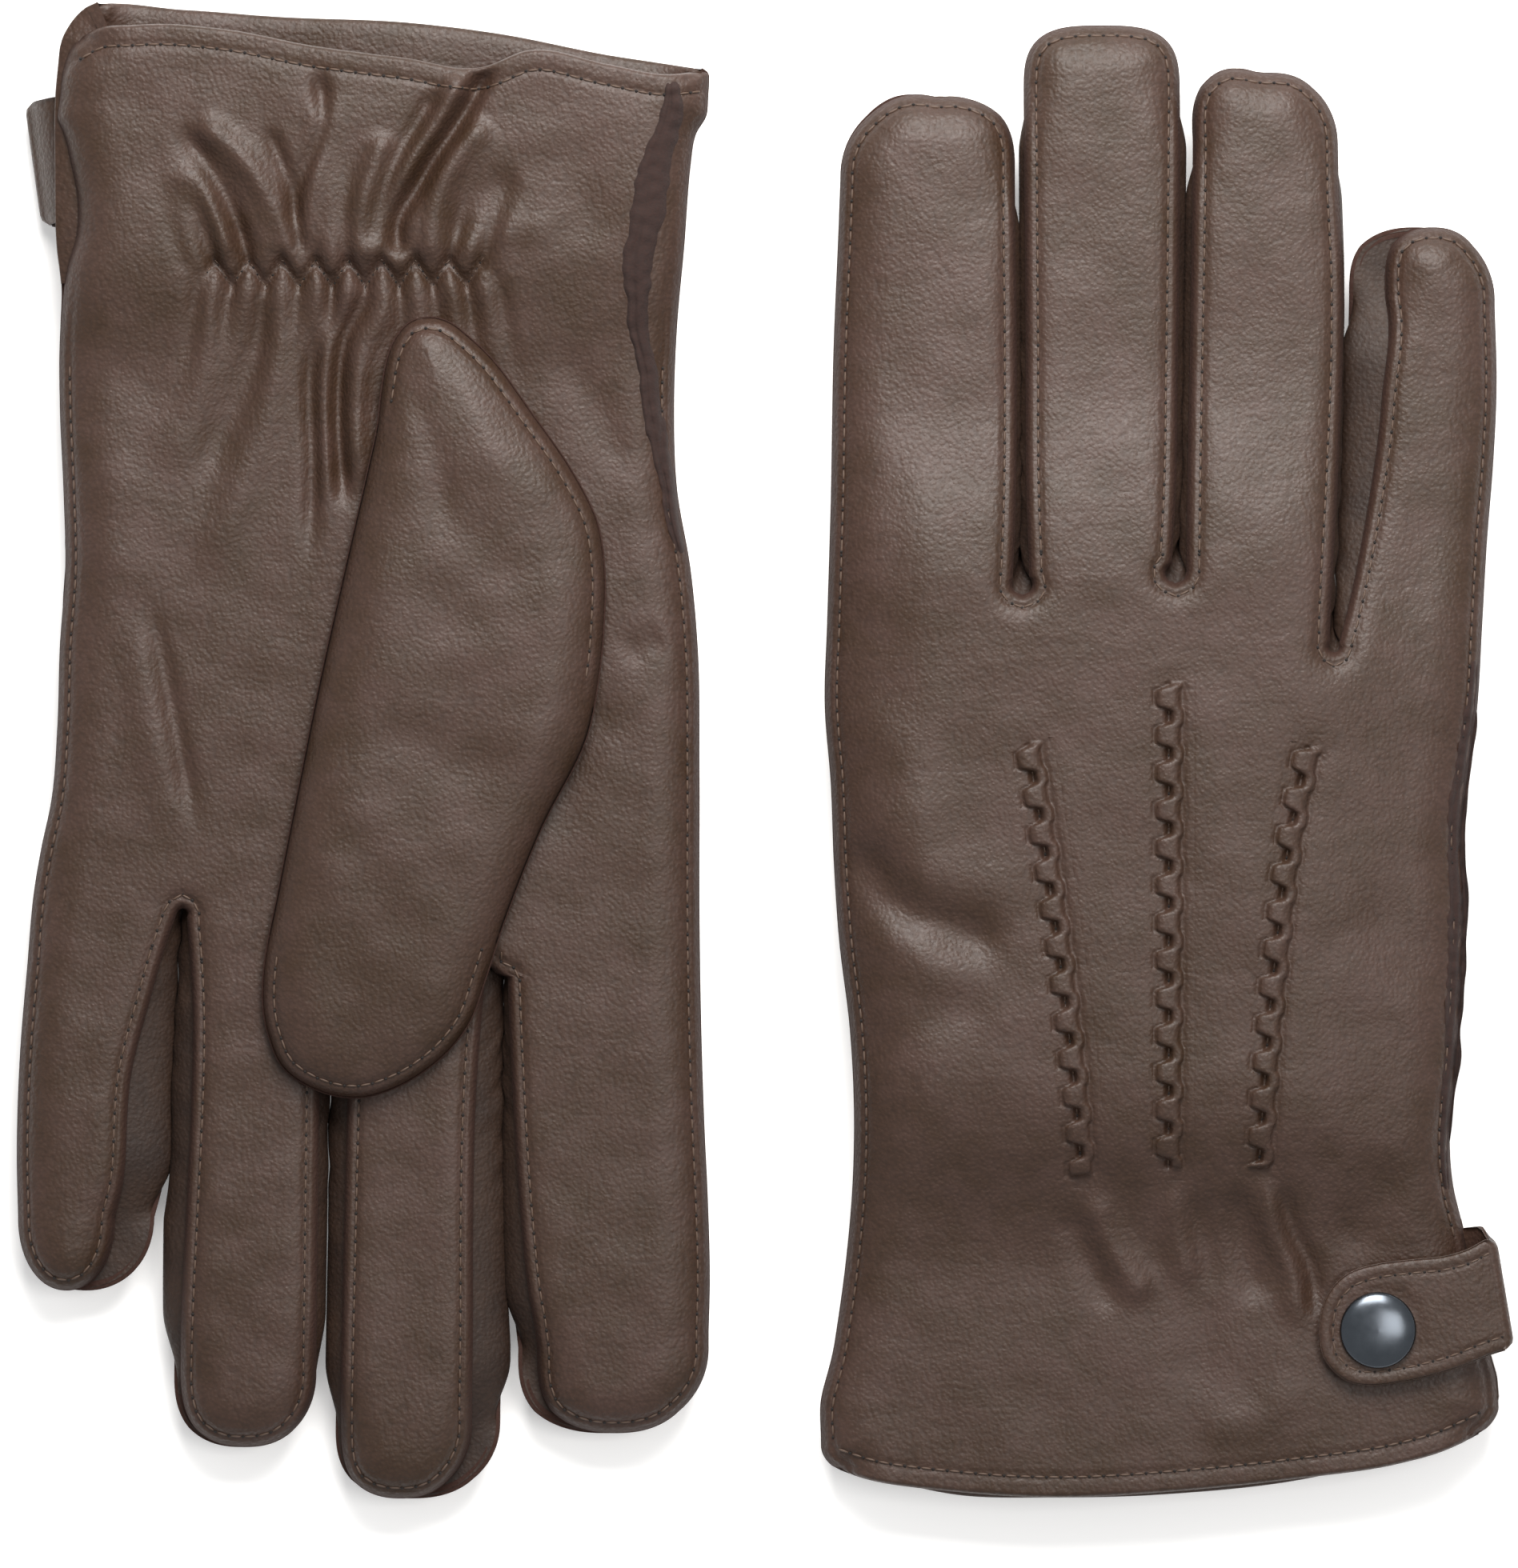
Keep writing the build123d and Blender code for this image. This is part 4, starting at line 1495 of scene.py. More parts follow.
    def strap(self) -> None:
        """Makes the cuff strap with its stitches and the snap's cap."""
        strap = Strap(self.cut, self.sheets[Face.BACK])
        obj = strap.tab(self.fin)
        self.bend_strap(obj)
        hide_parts(self.body("strap_tab"))
        obj = strap.root(self.fin)
        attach(obj, self.body("hand"))
        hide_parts(self.body("strap_root"))
        obj = self.stitches.sew(self.body("strap_stitches"), self.side, strap.rows(), pitch=2.4, length=1.6,
                                radius=0.19)
        self.bend_strap(obj)
        obj = strap.cap(self.fin)
        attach(obj, self.body("strap"))
        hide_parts(self.body("snap_cap"))
        for part in ("snap_stud", "snap_post", "snap_socket"):
            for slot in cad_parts[self.body(part)].material_slots:
                slot.material = self.fin.nickel

    def bend_strap(self, piece: bpy.types.Object) -> None:
        """Bakes a piece's place into its mesh; the points at the strap's hinge are worked out but not used.

        Args:
            piece: The piece.
        """
        z = DEPTH + 3.0 + (LEFT_CUFF if self.side is Side.LEFT else 0.0)
        start, end = self.side.to_world([(56.4, 30.0, z), (51.4, 30.0, z)])
        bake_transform(piece)

    def points(self) -> None:
        """Makes the three raised lines on the back as fine strips of the same leather, with their threads."""
        sheet = self.sheets[Face.BACK]
        parts = MeshParts()
        threads = []
        for line in POINT_LINES:
            path = np.array(line, float)
            y = np.arange(path[0, 1] + 2.6, path[-1, 1] - 2.6, -0.24)
            x = spline(tuple((b, a) for a, b in line[::-1]), y)
            middle = np.column_stack([x, y])
            side = -normals_2d(middle)
            side[side[:, 0] < 0] *= -1
            across = np.linspace(-4.6, 4.6, 39)
            xy = middle[:, None] + side[:, None] * across[None, :, None]
            flat = xy.reshape(-1, 2)
            sheet.bare = True
            base = sheet.height(flat)
            sheet.bare = False
            along = np.repeat(path[0, 1] - y, len(across))
            c = np.tile(across, len(y))
            raised = lobes(along, c, path[0, 1] - path[-1, 1])
            border = np.clip((np.abs(c) - 3.0) / 1.6, 0, 1) ** 4
            past = np.maximum(-along, along - (path[0, 1] - path[-1, 1]))
            border = np.maximum(border, np.clip((past - 0.6) / 2.0, 0, 1) ** 4)
            z = sheet.pressed(base + raised + 0.009 - 0.3 * border)
            grid = np.column_stack([flat, z]).reshape(*xy.shape[:2], 3)
            parts.add_grid(grid, flip=True)
            for s in np.arange(POINT_PITCH, path[0, 1] - path[-1, 1], POINT_PITCH):
                j = int(np.argmin(np.abs(path[0, 1] - y - s)))
                k = int(np.argmin(np.abs(across - POINT_NOTCH)))
                lo, hi = max(j - 3, 0), min(j + 4, len(grid))
                if hi - lo > 5:
                    threads.append(grid[lo:hi, k] + (0, 0, 0.12))
        obj = parts.build(self.body("point_ridges"), self.side, (self.fin.leather,))
        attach(obj, self.body("hand"))
        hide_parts(self.body("point_stitching"))
        obj = self.stitches.sew(self.body("point_threads"), self.side, threads, pitch=2.0, length=1.5,
                                radius=0.2)
        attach(obj, self.body("hand"))

    def elastic(self) -> None:
        """Sews the zigzag of the elastic across the palm side of the wrist."""
        low, high = ELASTIC_ENDS
        x, y = np.meshgrid(np.arange(low - 1, high + 1, 0.6), np.linspace(ELASTIC_Y - 3, ELASTIC_Y + 3, 9))
        flat = np.column_stack([x.ravel(), y.ravel()])
        outside = self.sheets[Face.PALM].height(flat)
        parts = MeshParts()
        layers = [np.column_stack([flat, outside + deep]).reshape(*x.shape, 3) for deep in (1.05, 1.5)]
        parts.add_grid(layers[0], flip=True)
        parts.add_grid(layers[1])
        for a, b in ((layers[0][0], layers[1][0]), (layers[1][-1], layers[0][-1]),
                     (layers[1][:, 0], layers[0][:, 0]), (layers[0][:, -1], layers[1][:, -1])):
            parts.add_grid(np.stack([a, b]))
        obj = parts.build(self.body("elastic_tape"), self.side, (self.fin.elastic,), merge=MERGE)
        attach(obj, self.body("hand"))
        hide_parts(self.body("wrist_elastic"))
        x = np.arange(low, high, 0.25)
        y = zigzag(x)
        z = self.sheets[Face.PALM].height(np.column_stack([x, y])) - 0.12
        obj = self.stitches.sew(self.body("elastic_stitches"), self.side, [np.column_stack([x, y, z])],
                                pitch=1.25,
                                length=1.0, radius=0.17)
        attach(obj, self.body("hand"))

    def seam_strips(self) -> None:
        """Makes the raw seam allowances that stand out beside the side seams."""
        parts = MeshParts()
        for strip in self.cut.strips:
            strip.add_to(parts, self.sheets[strip.face])
        obj = parts.build(self.body("seam_allowances"), self.side, (self.fin.suede,))
        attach(obj, self.body("hand"))

    def build(self) -> None:
        """Makes every piece of the glove."""
        for face in Face:
            self.hand_face(face)
            for i in range(4):
                self.finger_face(i, face)
            self.sew_face(face)
        self.all_fourchettes()
        self.linings()
        self.thumb()
        self.strap()
        self.points()
        self.elastic()
        self.seam_strips()


@dataclass(frozen=True)
class SeamStrip:
    """A raw seam allowance lying on a face: its path as (y, x), its half width by y, and its height."""

    face: Face
    path: Curve
    half: Curve
    height: float = 0.7
    seed: int = 3

    def add_to(self, parts: MeshParts, sheet: Sheet) -> None:
        """Adds the strip, draped on the sheet.

        Args:
            parts: Where it is added.
            sheet: The face it lies on.
        """
        y = np.arange(self.path[0][0], self.path[-1][0], 0.45)
        x = spline(self.path, y) + 0.2 * soft_noise(y, y * 0, 12, self.seed)
        half = spline(self.half, y) * (1 + 0.1 * soft_noise(y, y * 0 + 5, 8, self.seed + 1))
        across = np.linspace(-1, 1, 15)
        xy = np.stack([x[:, None] + half[:, None] * across, np.broadcast_to(y[:, None], (len(y), 15))],
                      axis=2)
        flat = xy.reshape(-1, 2)
        c = np.tile(across, len(y))
        rise = self.height * np.clip(1 - np.abs(c) ** 3.2, 0, 1) - 0.45 * np.exp(-(((c - 0.3) / 0.2) ** 2))
        rise += 0.2 * soft_noise(flat[:, 0], flat[:, 1], 2.6, self.seed + 2)
        ends = smooth(y[0], y[0] + 3, flat[:, 1]) * (1 - smooth(y[-1] - 3, y[-1], flat[:, 1]))
        z = sheet.pressed(sheet.height(flat) + self.face.value * ((rise + 0.25) * ends - 0.35))
        parts.add_grid(np.column_stack([flat, z]).reshape(len(y), 15, 3), flip=self.face is Face.PALM)


def lobes(along: np.ndarray, across: np.ndarray, length: float) -> np.ndarray:
    """The raised line of points: a rope of wide lobes at the left and narrow links at the right.

    Args:
        along: The distance from the line's top.
        across: The distance from its middle.
        length: The line's length.

    Returns:
        Heights above the leather.
    """
    phase = 2 * math.pi * (along / POINT_PITCH - 0.5)
    turn = np.tanh(2.4 * (np.cos(phase) + 0.22))
    middle = 0.1 - 0.8 * turn
    half = 1.48 + 0.5 * turn
    r = np.abs(across - middle) / half
    dome = np.clip(1 - r**2.6, 0, 1) ** 0.6
    ends = smooth(0.2, 1.4, along) * (1 - smooth(length - 1.4, length - 0.2, along))
    notch = np.exp(-(((across - POINT_NOTCH) / 0.55) ** 2)) * smooth(0.3, 0.95, -turn)
    beside = np.exp(-(((r - 1.25) / 0.28) ** 2))
    return ends * ((0.84 + 0.16 * turn) * 1.05 * dome - 0.7 * notch - 0.2 * beside)


def zigzag(x: np.ndarray) -> np.ndarray:
    """The elastic's zigzag line: its y at each x."""
    phase = ((x - ELASTIC_ENDS[0]) / ZIGZAG_PITCH) % 1.0
    return ELASTIC_Y + 2.25 * (1 - 4 * np.abs(phase - 0.5))


@dataclass(frozen=True)
class Thumb:
    """The thumb, folded flat against the palm."""

    cut: GloveCut

    ULNAR = ((52.0, -11.0), (52.7, -7.8), (55.2, -5.4), (58.5, -4.0), (64, -3.0), (70, -2.3), (77, -0.8),
             (89.1, 2.0), (111.8, 7.1), (130.7, 10.9),
             (146.5, 14.0), (158, 16.2), (165, 16.5), (170, 15.6), (175.3, 13.2), (179.0, 7.6), (180.2, 1.0))
    RADIAL = ((52.0, -11.0), (52.8, -14.0), (55.2, -17.2), (59.3, -21.4), (67.8, -27.6), (76.7, -33.8),
              (85.4, -38.2), (93.3, -39.5),
              (102, -39.4), (110.7, -38.6), (121.4, -36.4), (135.8, -29.2), (151.0, -23.1), (160.1, -20.1),
              (168, -17.2), (173.7, -12.6), (178.3, -5.7), (180.2, 1.0))

    def outline(self) -> np.ndarray:
        """The thumb's outline, once round from its lowest point up the little-finger side.

        Returns:
            Evenly spaced points (x, y).
        """
        up = np.array([(x, y) for y, x in self.ULNAR])
        down = np.array([(x, y) for y, x in self.RADIAL])[::-1]
        ring = np.concatenate([up, down[1:-1]])
        ring = np.concatenate([ring[-2:], ring, ring[:3]])
        run = np.concatenate([[0], np.cumsum(np.sqrt(np.linalg.norm(np.diff(ring, axis=0), axis=1)))])
        first, last = run[2], run[-3]
        at = np.linspace(first, last, 1200, endpoint=False)
        pts = np.column_stack([spline(tuple(zip(run, ring[:, c])), at) for c in (0, 1)])
        length = np.concatenate([[0], np.cumsum(np.linalg.norm(np.diff(pts, axis=0), axis=1))])
        even = np.linspace(0, length[-1], int(length[-1] / (STEP * 0.9)), endpoint=False)
        return np.column_stack([np.interp(even, length, pts[:, c]) for c in (0, 1)])

    def spine(self, ring: np.ndarray) -> np.ndarray:
        """The point on the thumb's middle line that each outline point looks to.

        Args:
            ring: The outline's points.

        Returns:
            A point (x, y) for each of them.
        """
        y = 60 + (164 - 60) * smooth(52, 181, ring[:, 1]) * 0.35 + 0.65 * (np.clip(ring[:, 1], 60, 164) - 60)
        x = (spline(self.ULNAR, y) + spline(self.RADIAL, y)) / 2
        return np.column_stack([x, y])

    def face(self, xy: np.ndarray, outer: bool) -> np.ndarray:
        """The thumb's surface.

        Args:
            xy: Points inside its outline.
            outer: Whether it is the face away from the palm.

        Returns:
            Their z.
        """
        x, y = xy.T
        ring = self.outline()
        ring = np.concatenate([ring, ring[:1]])
        rim = Rim()
        rim.add(ring, 1.0, 9.0)
        d = rim.nearest(xy)[0]
        left = self.cut.side is Side.LEFT
        inner = np.full_like(y, -0.35) if left else self.cut.drape(x, y) - 0.35
        low = -8.3 + 1.6 * smooth(140, 180,
                                  y) + 1.0 * (1 - smooth(52, 78, y)) if left else np.full_like(y, 0.1)
        share = 0.2 if left else 0.5
        seam = inner + (low - inner) * share
        radial = smooth(0.0, 5.0, -14.0 + 0.18 * (y - 50) - x) * (1 - smooth(108, 118, y))
        sewn = np.maximum(np.maximum(radial, 1 - smooth(64, 72, y)), smooth(152, 164, y))
        if not outer:
            t = np.clip(d / 5.0, 0, 1)
            return seam + (inner - seam) * np.sqrt(1 - (1 - t) ** 2)
        t = np.clip(d / 10.5, 0, 1)
        z = seam + (low - seam) * np.sqrt(1 - (1 - t) ** 2.1)
        inside = smooth(1.0, 7.0, d)
        z -= -inside * (0.32 * soft_noise(x, y, 30, 71) + 0.14 * soft_noise(x, y, 11, 72))
        z += 0.3 * sewn * np.exp(-(((d - STITCH_IN) / 0.5) ** 2))
        z -= 0.12 * sewn * np.exp(-(((d - 0.8) / 0.5) ** 2))
        for fold in THUMB_FOLDS:
            z -= fold.lift(xy) * inside
        return z

    def leather(self, fin: Finishes) -> bpy.types.Object:
        """Makes the leather of both faces with the seam between them.

        Args:
            fin: The materials.

        Returns:
            The piece, as an object at the origin.
        """
        ring = self.outline()
        spine = self.spine(ring)
        shares = np.concatenate([np.linspace(0, 0.12, 8), np.linspace(0.12, 1, 30)[1:]])
        parts = MeshParts()
        for outer in (True, False):
            rows = []
            for r in (shares if outer else shares[::2]):
                xy = ring * (1 - r) + spine * r
                rows.append(np.column_stack([xy, self.face(xy, outer)]))
            grid = np.array(rows)
            parts.add_grid(grid, flip=outer, closed=True)
            if outer:
                edge_low = grid[0]
            else:
                edge_top = grid[0]
        out = -normals_2d(np.concatenate([ring[-1:], ring, ring[:1]]))[1:-1]
        walls = []
        for t, push in ((0.0, 0.0), (0.15, 0.22), (0.5, 0.3), (0.85, 0.22), (1.0, 0.0)):
            p = edge_low * (1 - t) + edge_top * t
            p[:, 2] += (t - 0.5) * 0.9
            p[:, :2] += out * push
            walls.append(p)
        walls[0] = edge_low
        walls[-1] = edge_top
        lips = MeshParts()
        lips.add_grid(np.array(walls), closed=True, edge=1.0)
        name = f"{self.cut.side.word}_thumb_skin"
        first = parts.build(name, self.cut.side, (fin.leather,), merge=MERGE)
        second = lips.build(name + "_lip", self.cut.side, (fin.leather,), merge=MERGE)
        with bpy.context.temp_override(active_object=first, selected_editable_objects=[first, second]):
            bpy.ops.object.join()
        return first

    def rows(self) -> list[np.ndarray]:
        """The stitch rows: round the tip, and down the thumb's outer seam.

        Returns:
            Rows of points (x, y, z).
        """
        ring = self.outline()
        tip = int(ring[:, 1].argmax())
        from_tip = np.roll(ring, -tip, axis=0)
        radial_side = np.arange(len(ring)) < len(ring) // 2
        seam = from_tip[np.where(radial_side, from_tip[:, 1] < 112.0, from_tip[:, 1] < 66.0)]
        rows = []
        for path in (ring[ring[:, 1] > 156.0], seam):
            xy = (path + normals_2d(path) * STITCH_IN)[2:-2]
            rows.append(np.column_stack([xy, self.face(xy, True) - 0.08]))
        return rows

    def lining(self, fin: Finishes) -> bpy.types.Object:
        """Makes the thumb's lining, inside its leather.

        Args:
            fin: The materials.

        Returns:
            The piece, as an object at the origin.
        """
        ring = self.outline()
        spine = self.spine(ring)
        parts = MeshParts()
        edges = []
        for outer in (True, False):
            rows = []
            for r in np.linspace(0.13, 1, 12):
                xy = ring * (1 - r) + spine * r
                z = self.face(xy, outer)
                other = self.face(xy, not outer)
                middle = (z + other) / 2
                z = np.minimum(z + 1.5, middle - 0.3) if outer else np.maximum(z - 1.2, middle + 0.3)
                rows.append(np.column_stack([xy, z]))
            grid = np.array(rows)[:, ::2]
            parts.add_grid(grid, flip=outer, closed=True)
            edges.append(grid[0])
        parts.add_grid(np.array(edges), closed=True)
        return parts.build(f"{self.cut.side.word}_thumb_knitted_lining", self.cut.side, (fin.lining,),
                           merge=MERGE)


THUMB_FOLDS = (
    Fold(((10.0, 118.0), (-6.0, 122.0), (-26.0, 128.0)), 5.0, -0.45),
    Fold(((4.0, 104.0), (-12.0, 108.0), (-30.0, 106.0)), 5.0, 0.35),
    Fold(((-6.0, 62.0), (-12.0, 74.0), (-14.0, 90.0)), 2.6, -0.5),
    Fold(((-14.0, 60.0), (-20.0, 70.0), (-24.0, 84.0)), 3.5, 0.35),
)


@dataclass(frozen=True)
class Strap:
    """The cuff strap: a sewn double strip of leather from inside the vent, folded round to the snap."""

    cut: GloveCut
    sheet: Sheet

    TOP = ((25.6, 27.7), (26.0, 31.6), (27.7, 35.1), (30.6, 37.6), (35.2, 39.0), (40.8, 39.7), (45.8, 40.2),
           (49.7, 41.3), (52.4, 42.7), (53.1, 43.0))
    BOTTOM = ((25.6, 27.7), (26.1, 24.2), (28.0, 21.4), (30.6, 19.7), (34.1, 19.2), (38.7, 19.7),
              (42.2, 20.4),
              (47.9, 22.0), (52.9, 24.0), (56.1, 25.0))

    LEFT_TOP = ((25.6, 28.2), (26.0, 32.0), (27.7, 35.3), (30.6, 37.4), (35.2, 38.2), (41.0, 37.6),
                (46.5, 37.0),
                (49.5, 36.5), (51.4, 36.2), (52.2, 36.0))
    LEFT_BOTTOM = ((25.6, 28.2), (26.1, 24.6), (28.0, 21.4), (30.6, 19.6), (34.1, 18.6), (39.0, 18.0),
                   (43.5, 17.4),
                   (47.6, 16.8), (52.0, 16.2), (55.0, 15.8))

    @property
    def lift(self) -> float:
        """How far the cuff is lifted off the glove's palm plane."""
        return LEFT_CUFF if self.cut.side is Side.LEFT else 0.0

    @property
    def slant(self) -> float:
        """How far the fixed end leans towards the fingertips below the free end."""
        return 0.0 if self.cut.side is Side.LEFT else 2.2

    @property
    def low(self) -> float:
        """The height of the strap's underside."""
        return DEPTH + 1.7 + self.lift

    @property
    def high(self) -> float:
        """The height of the strap's upper side."""
        return DEPTH + 3.0 + self.lift

    @property
    def edges(self) -> tuple[Curve, Curve]:
        """The strap's two long edges, from its rounded end to the fold.

        Returns:
            The edges' points, the upper edge first.
        """
        if self.cut.side is Side.LEFT:
            return self.LEFT_TOP, self.LEFT_BOTTOM
        return self.TOP, self.BOTTOM

    def cross(self, count: int) -> tuple[np.ndarray, np.ndarray]:
        """The strap's top and bottom edges at matching places along it.

        Args:
            count: How many places.

        Returns:
            Two arrays of points.
        """
        sides = []
        for line in self.edges:
            p = np.array(line)
            t = np.linspace(0, len(p) - 1, 400)
            keys = np.arange(len(p))
            fine = np.column_stack([spline(tuple(zip(keys, p[:, c])), t) for c in (0, 1)])
            run = np.concatenate([[0], np.cumsum(np.linalg.norm(np.diff(fine, axis=0), axis=1))])
            at = np.linspace(0, 1, count) ** 1.15 * run[-1]
            sides.append(np.column_stack([np.interp(at, run, fine[:, c]) for c in (0, 1)]))
        return sides[0], sides[1]

    def top_z(self, xy: np.ndarray, d: np.ndarray) -> np.ndarray:
        """The strap's upper surface at points a distance d from its edge.

        Args:
            xy: Points of the strap.
            d: Their distances from its edge.

        Returns:
            Their z.
        """
        x, y = xy.T
        t = np.clip(d / 1.1, 0, 1)
        z = self.high - 0.45 * (1 - np.sqrt(1 - (1 - t) ** 2))
        z -= 0.22 * np.exp(-(((d - 2.1) / 0.45) ** 2))
        r = np.hypot(x - SNAP_CENTRE[0], y - SNAP_CENTRE[1])
        turn = np.arctan2(y - SNAP_CENTRE[1], x - SNAP_CENTRE[0])
        z -= 0.35 * np.exp(-(((r - 6.4) / 1.6) ** 2))
        crimps = 0.05 * np.sin(turn * 19 + np.sin(turn * 5) * 2) * np.exp(-(((r - 8.0) / 1.6) ** 2))
        z += crimps * smooth(1.5, 3, d)
        z += 0.10 * soft_noise(x, y, 9, 55) * smooth(1.0, 3.0, d)
        return z - 0.55 * smooth(51.0, 55.4, x + (y - 34) * 0.17)

    def tab(self, fin: Finishes) -> bpy.types.Object:
        """Makes the free end, from its rounded tip to the fold at the glove's side.

        Args:
            fin: The materials.

        Returns:
            The piece, as an object at the origin.
        """
        top, bottom = self.cross(60)
        u = np.linspace(0, 1, 41)
        u = u - 0.85 * u * (1 - u) ** 2 + 0.85 * (1 - u) * u**2
        xy = bottom[:, None] * (1 - u)[None, :, None] + top[:, None] * u[None, :, None]
        edge = np.concatenate([top[::-1], bottom[1:]])
        rim = Rim()
        rim.add(edge, 1.0, 1.0)
        flat = xy.reshape(-1, 2)
        d = rim.nearest(flat)[0]
        upper = np.column_stack([flat, self.top_z(flat, d)]).reshape(*xy.shape[:2], 3)
        lower = upper.copy()
        dd = d.reshape(xy.shape[:2])
        lower[:, :, 2] = self.low + 0.35 * (1 - np.clip(dd / 0.9, 0, 1)) ** 2
        parts = MeshParts()
        parts.add_grid(upper, flip=True)
        parts.add_grid(lower)
        loop_high = np.concatenate([upper[::-1, -1], upper[1:, 0]])
        loop_low = np.concatenate([lower[::-1, -1], lower[1:, 0]])
        normal = -normals_2d(loop_high[:, :2])
        walls = []
        for t, push in ((0, 0), (0.25, 0.16), (0.5, 0.2), (0.75, 0.16), (1, 0)):
            p = loop_high * (1 - t) + loop_low * t
            p[:, :2] += normal * push
            walls.append(p)
        parts.add_grid(np.array(walls))
        return parts.build(f"{self.cut.side.word}_strap_leather", self.cut.side, (fin.leather,), merge=MERGE)

    def root(self, fin: Finishes) -> bpy.types.Object:
        """Makes the fixed end, from the fold down round the side and in under the palm side.

        Args:
            fin: The materials.

        Returns:
            The piece, as an object at the origin.
        """
        top, bottom = (np.array(e[-1]) for e in self.edges)
        side = (top - bottom) / np.linalg.norm(top - bottom)
        outward = np.array([side[1], -side[0]])
        bend = []
        for angle in np.linspace(118, -60, 15):
            r = math.radians(angle)
            bend.append((0.15 + 1.55 * math.cos(r), self.high - 0.55 - 1.65 + 1.65 * math.sin(r)))
        low = [(0.3, 11.1), (-0.9, 9.9), (-2.4, 8.7), (-4.2, 7.6), (-6.2, 6.9), (-8.2, 6.5)]
        bend += [(out, z + self.lift) for out, z in low]
        bend = np.array(bend)
        t = np.gradient(bend, axis=0)
        t /= np.linalg.norm(t, axis=1, keepdims=True)
        into = np.column_stack([t[:, 1], -t[:, 0]])
        inner = bend + into * 1.15
        parts = MeshParts()
        u = np.linspace(0, 1, 24)
        grids = []
        for line in (bend, inner):
            rows = []
            for out, z in line:
                lean = 1.0 if z - self.lift > 12 else 0.6
                corner = np.clip((np.abs(2 * u - 1) - 0.8) / 0.2, 0, 1)
                pull = 1.3 * (1 - np.sqrt(1 - corner**2)) * np.clip(out / 1.7, 0, 1)
                across = bottom[None] * (1 - u)[:, None] + top[None] * u[:, None]
                below = self.slant * smooth(0, 3.5, np.array(self.high - 2.0 - z))
                across = across + outward * (out * lean - pull)[:, None] + side * below
                rows.append(np.column_stack([across, np.full(len(u), z)]))
            grids.append(np.array(rows))
        parts.add_grid(grids[0], flip=True)
        parts.add_grid(grids[1])
        for column, flip in ((0, False), (-1, True)):
            parts.add_grid(np.stack([grids[0][:, column], grids[1][:, column]]), flip=flip)
        parts.add_grid(np.stack([grids[0][-1], grids[1][-1]]), flip=True)
        parts.add_grid(np.stack([grids[0][0], grids[1][0]]))
        return parts.build(f"{self.cut.side.word}_strap_fold", self.cut.side, (fin.leather,), merge=MERGE)

    def rows(self) -> list[np.ndarray]:
        """The stitch row round the strap, 2 mm inside its edge.

        Returns:
            Rows of points (x, y, z).
        """
        top, bottom = self.cross(80)
        edge = np.concatenate([top[::-1], bottom[1:]])
        for _ in range(2):
            edge[1:-1] = (edge[:-2] + edge[1:-1] * 2 + edge[2:]) / 4
        xy = (edge + normals_2d(edge) * 2.1)[2:-2]
        return [np.column_stack([xy, self.top_z(xy, np.full(len(xy), 2.1)) + 0.02])]

    def cap(self, fin: Finishes) -> bpy.types.Object:
        """Makes the snap's cap: a shallow dome with a rolled rim.

        Args:
            fin: The materials.

        Returns:
            The piece, as an object at the origin.
        """
        profile = ((0.01, 0.05), (5.7, 0.05), (6.15, 0.12), (6.28, 0.35), (6.18, 0.6), (5.8, 0.92),
                   (5.2, 1.2),
                   (4.3, 1.47), (3.2, 1.67), (2.0, 1.8), (1.0, 1.86), (0.01, 1.88))
        turn = np.linspace(0, 2 * math.pi, 72, endpoint=False)
        rows = []
        for r, z in profile:
            rows.append(np.column_stack([SNAP_CENTRE[0] + r * np.cos(turn), SNAP_CENTRE[1] + r * np.sin(turn),
                                         np.full(len(turn), self.high - 0.1 + z)]))
        parts = MeshParts()
        parts.add_grid(np.array(rows), closed=True)
        return parts.build(f"{self.cut.side.word}_snap_dome", self.cut.side, (fin.gunmetal,), merge=MERGE)


RIGHT_RADIAL = ((-30, -57.0), (4, -56.4), (12, -56.5), (26, -54.1), (39, -52.3), (52, -51.2), (65, -51.0),
                (78, -51.7),
                (92, -53.4), (105, -54.3), (118, -54.8), (131, -55.8), (145, -55.4), (165, -54.8),
                (191, -54.3),
                (210, -53.5), (218, -53.2))
RIGHT_ULNAR = ((-30, 55.6), (8, 55.4), (19, 54.9), (30, 52.8), (45, 49.5), (52, 47.8), (59, 47.2), (72, 48.3),
               (85, 49.1), (98, 49.6), (111, 49.2), (118, 50.0), (131, 51.7), (144, 52.5), (158, 53.4),
               (171, 54.5),
               (184, 55.1), (197, 54.8))
LEFT_RADIAL = ((-30, -57.0), (5, -56.6), (13.8, -56.1), (20, -54.5), (27, -53.6), (40, -52.6), (53, -51.4),
               (66, -50.9), (80, -51.4), (93, -53.6), (106, -54.8), (126, -55.1), (150, -55.1), (165, -55.3),
               (185, -55.9), (198, -56.5), (212, -56.8), (219, -56.6))
LEFT_ULNAR = ((-30, 50.0), (5, 50.2), (14, 50.9), (27, 51.0), (40, 50.7), (47, 50.0), (53, 50.3), (66, 50.5),
              (80, 49.9), (93, 49.6), (106, 50.5), (119, 50.9), (132, 52.0), (139, 53.5), (146, 54.7),
              (159, 55.9),
              (172, 57.0), (192, 57.6), (200, 57.4))

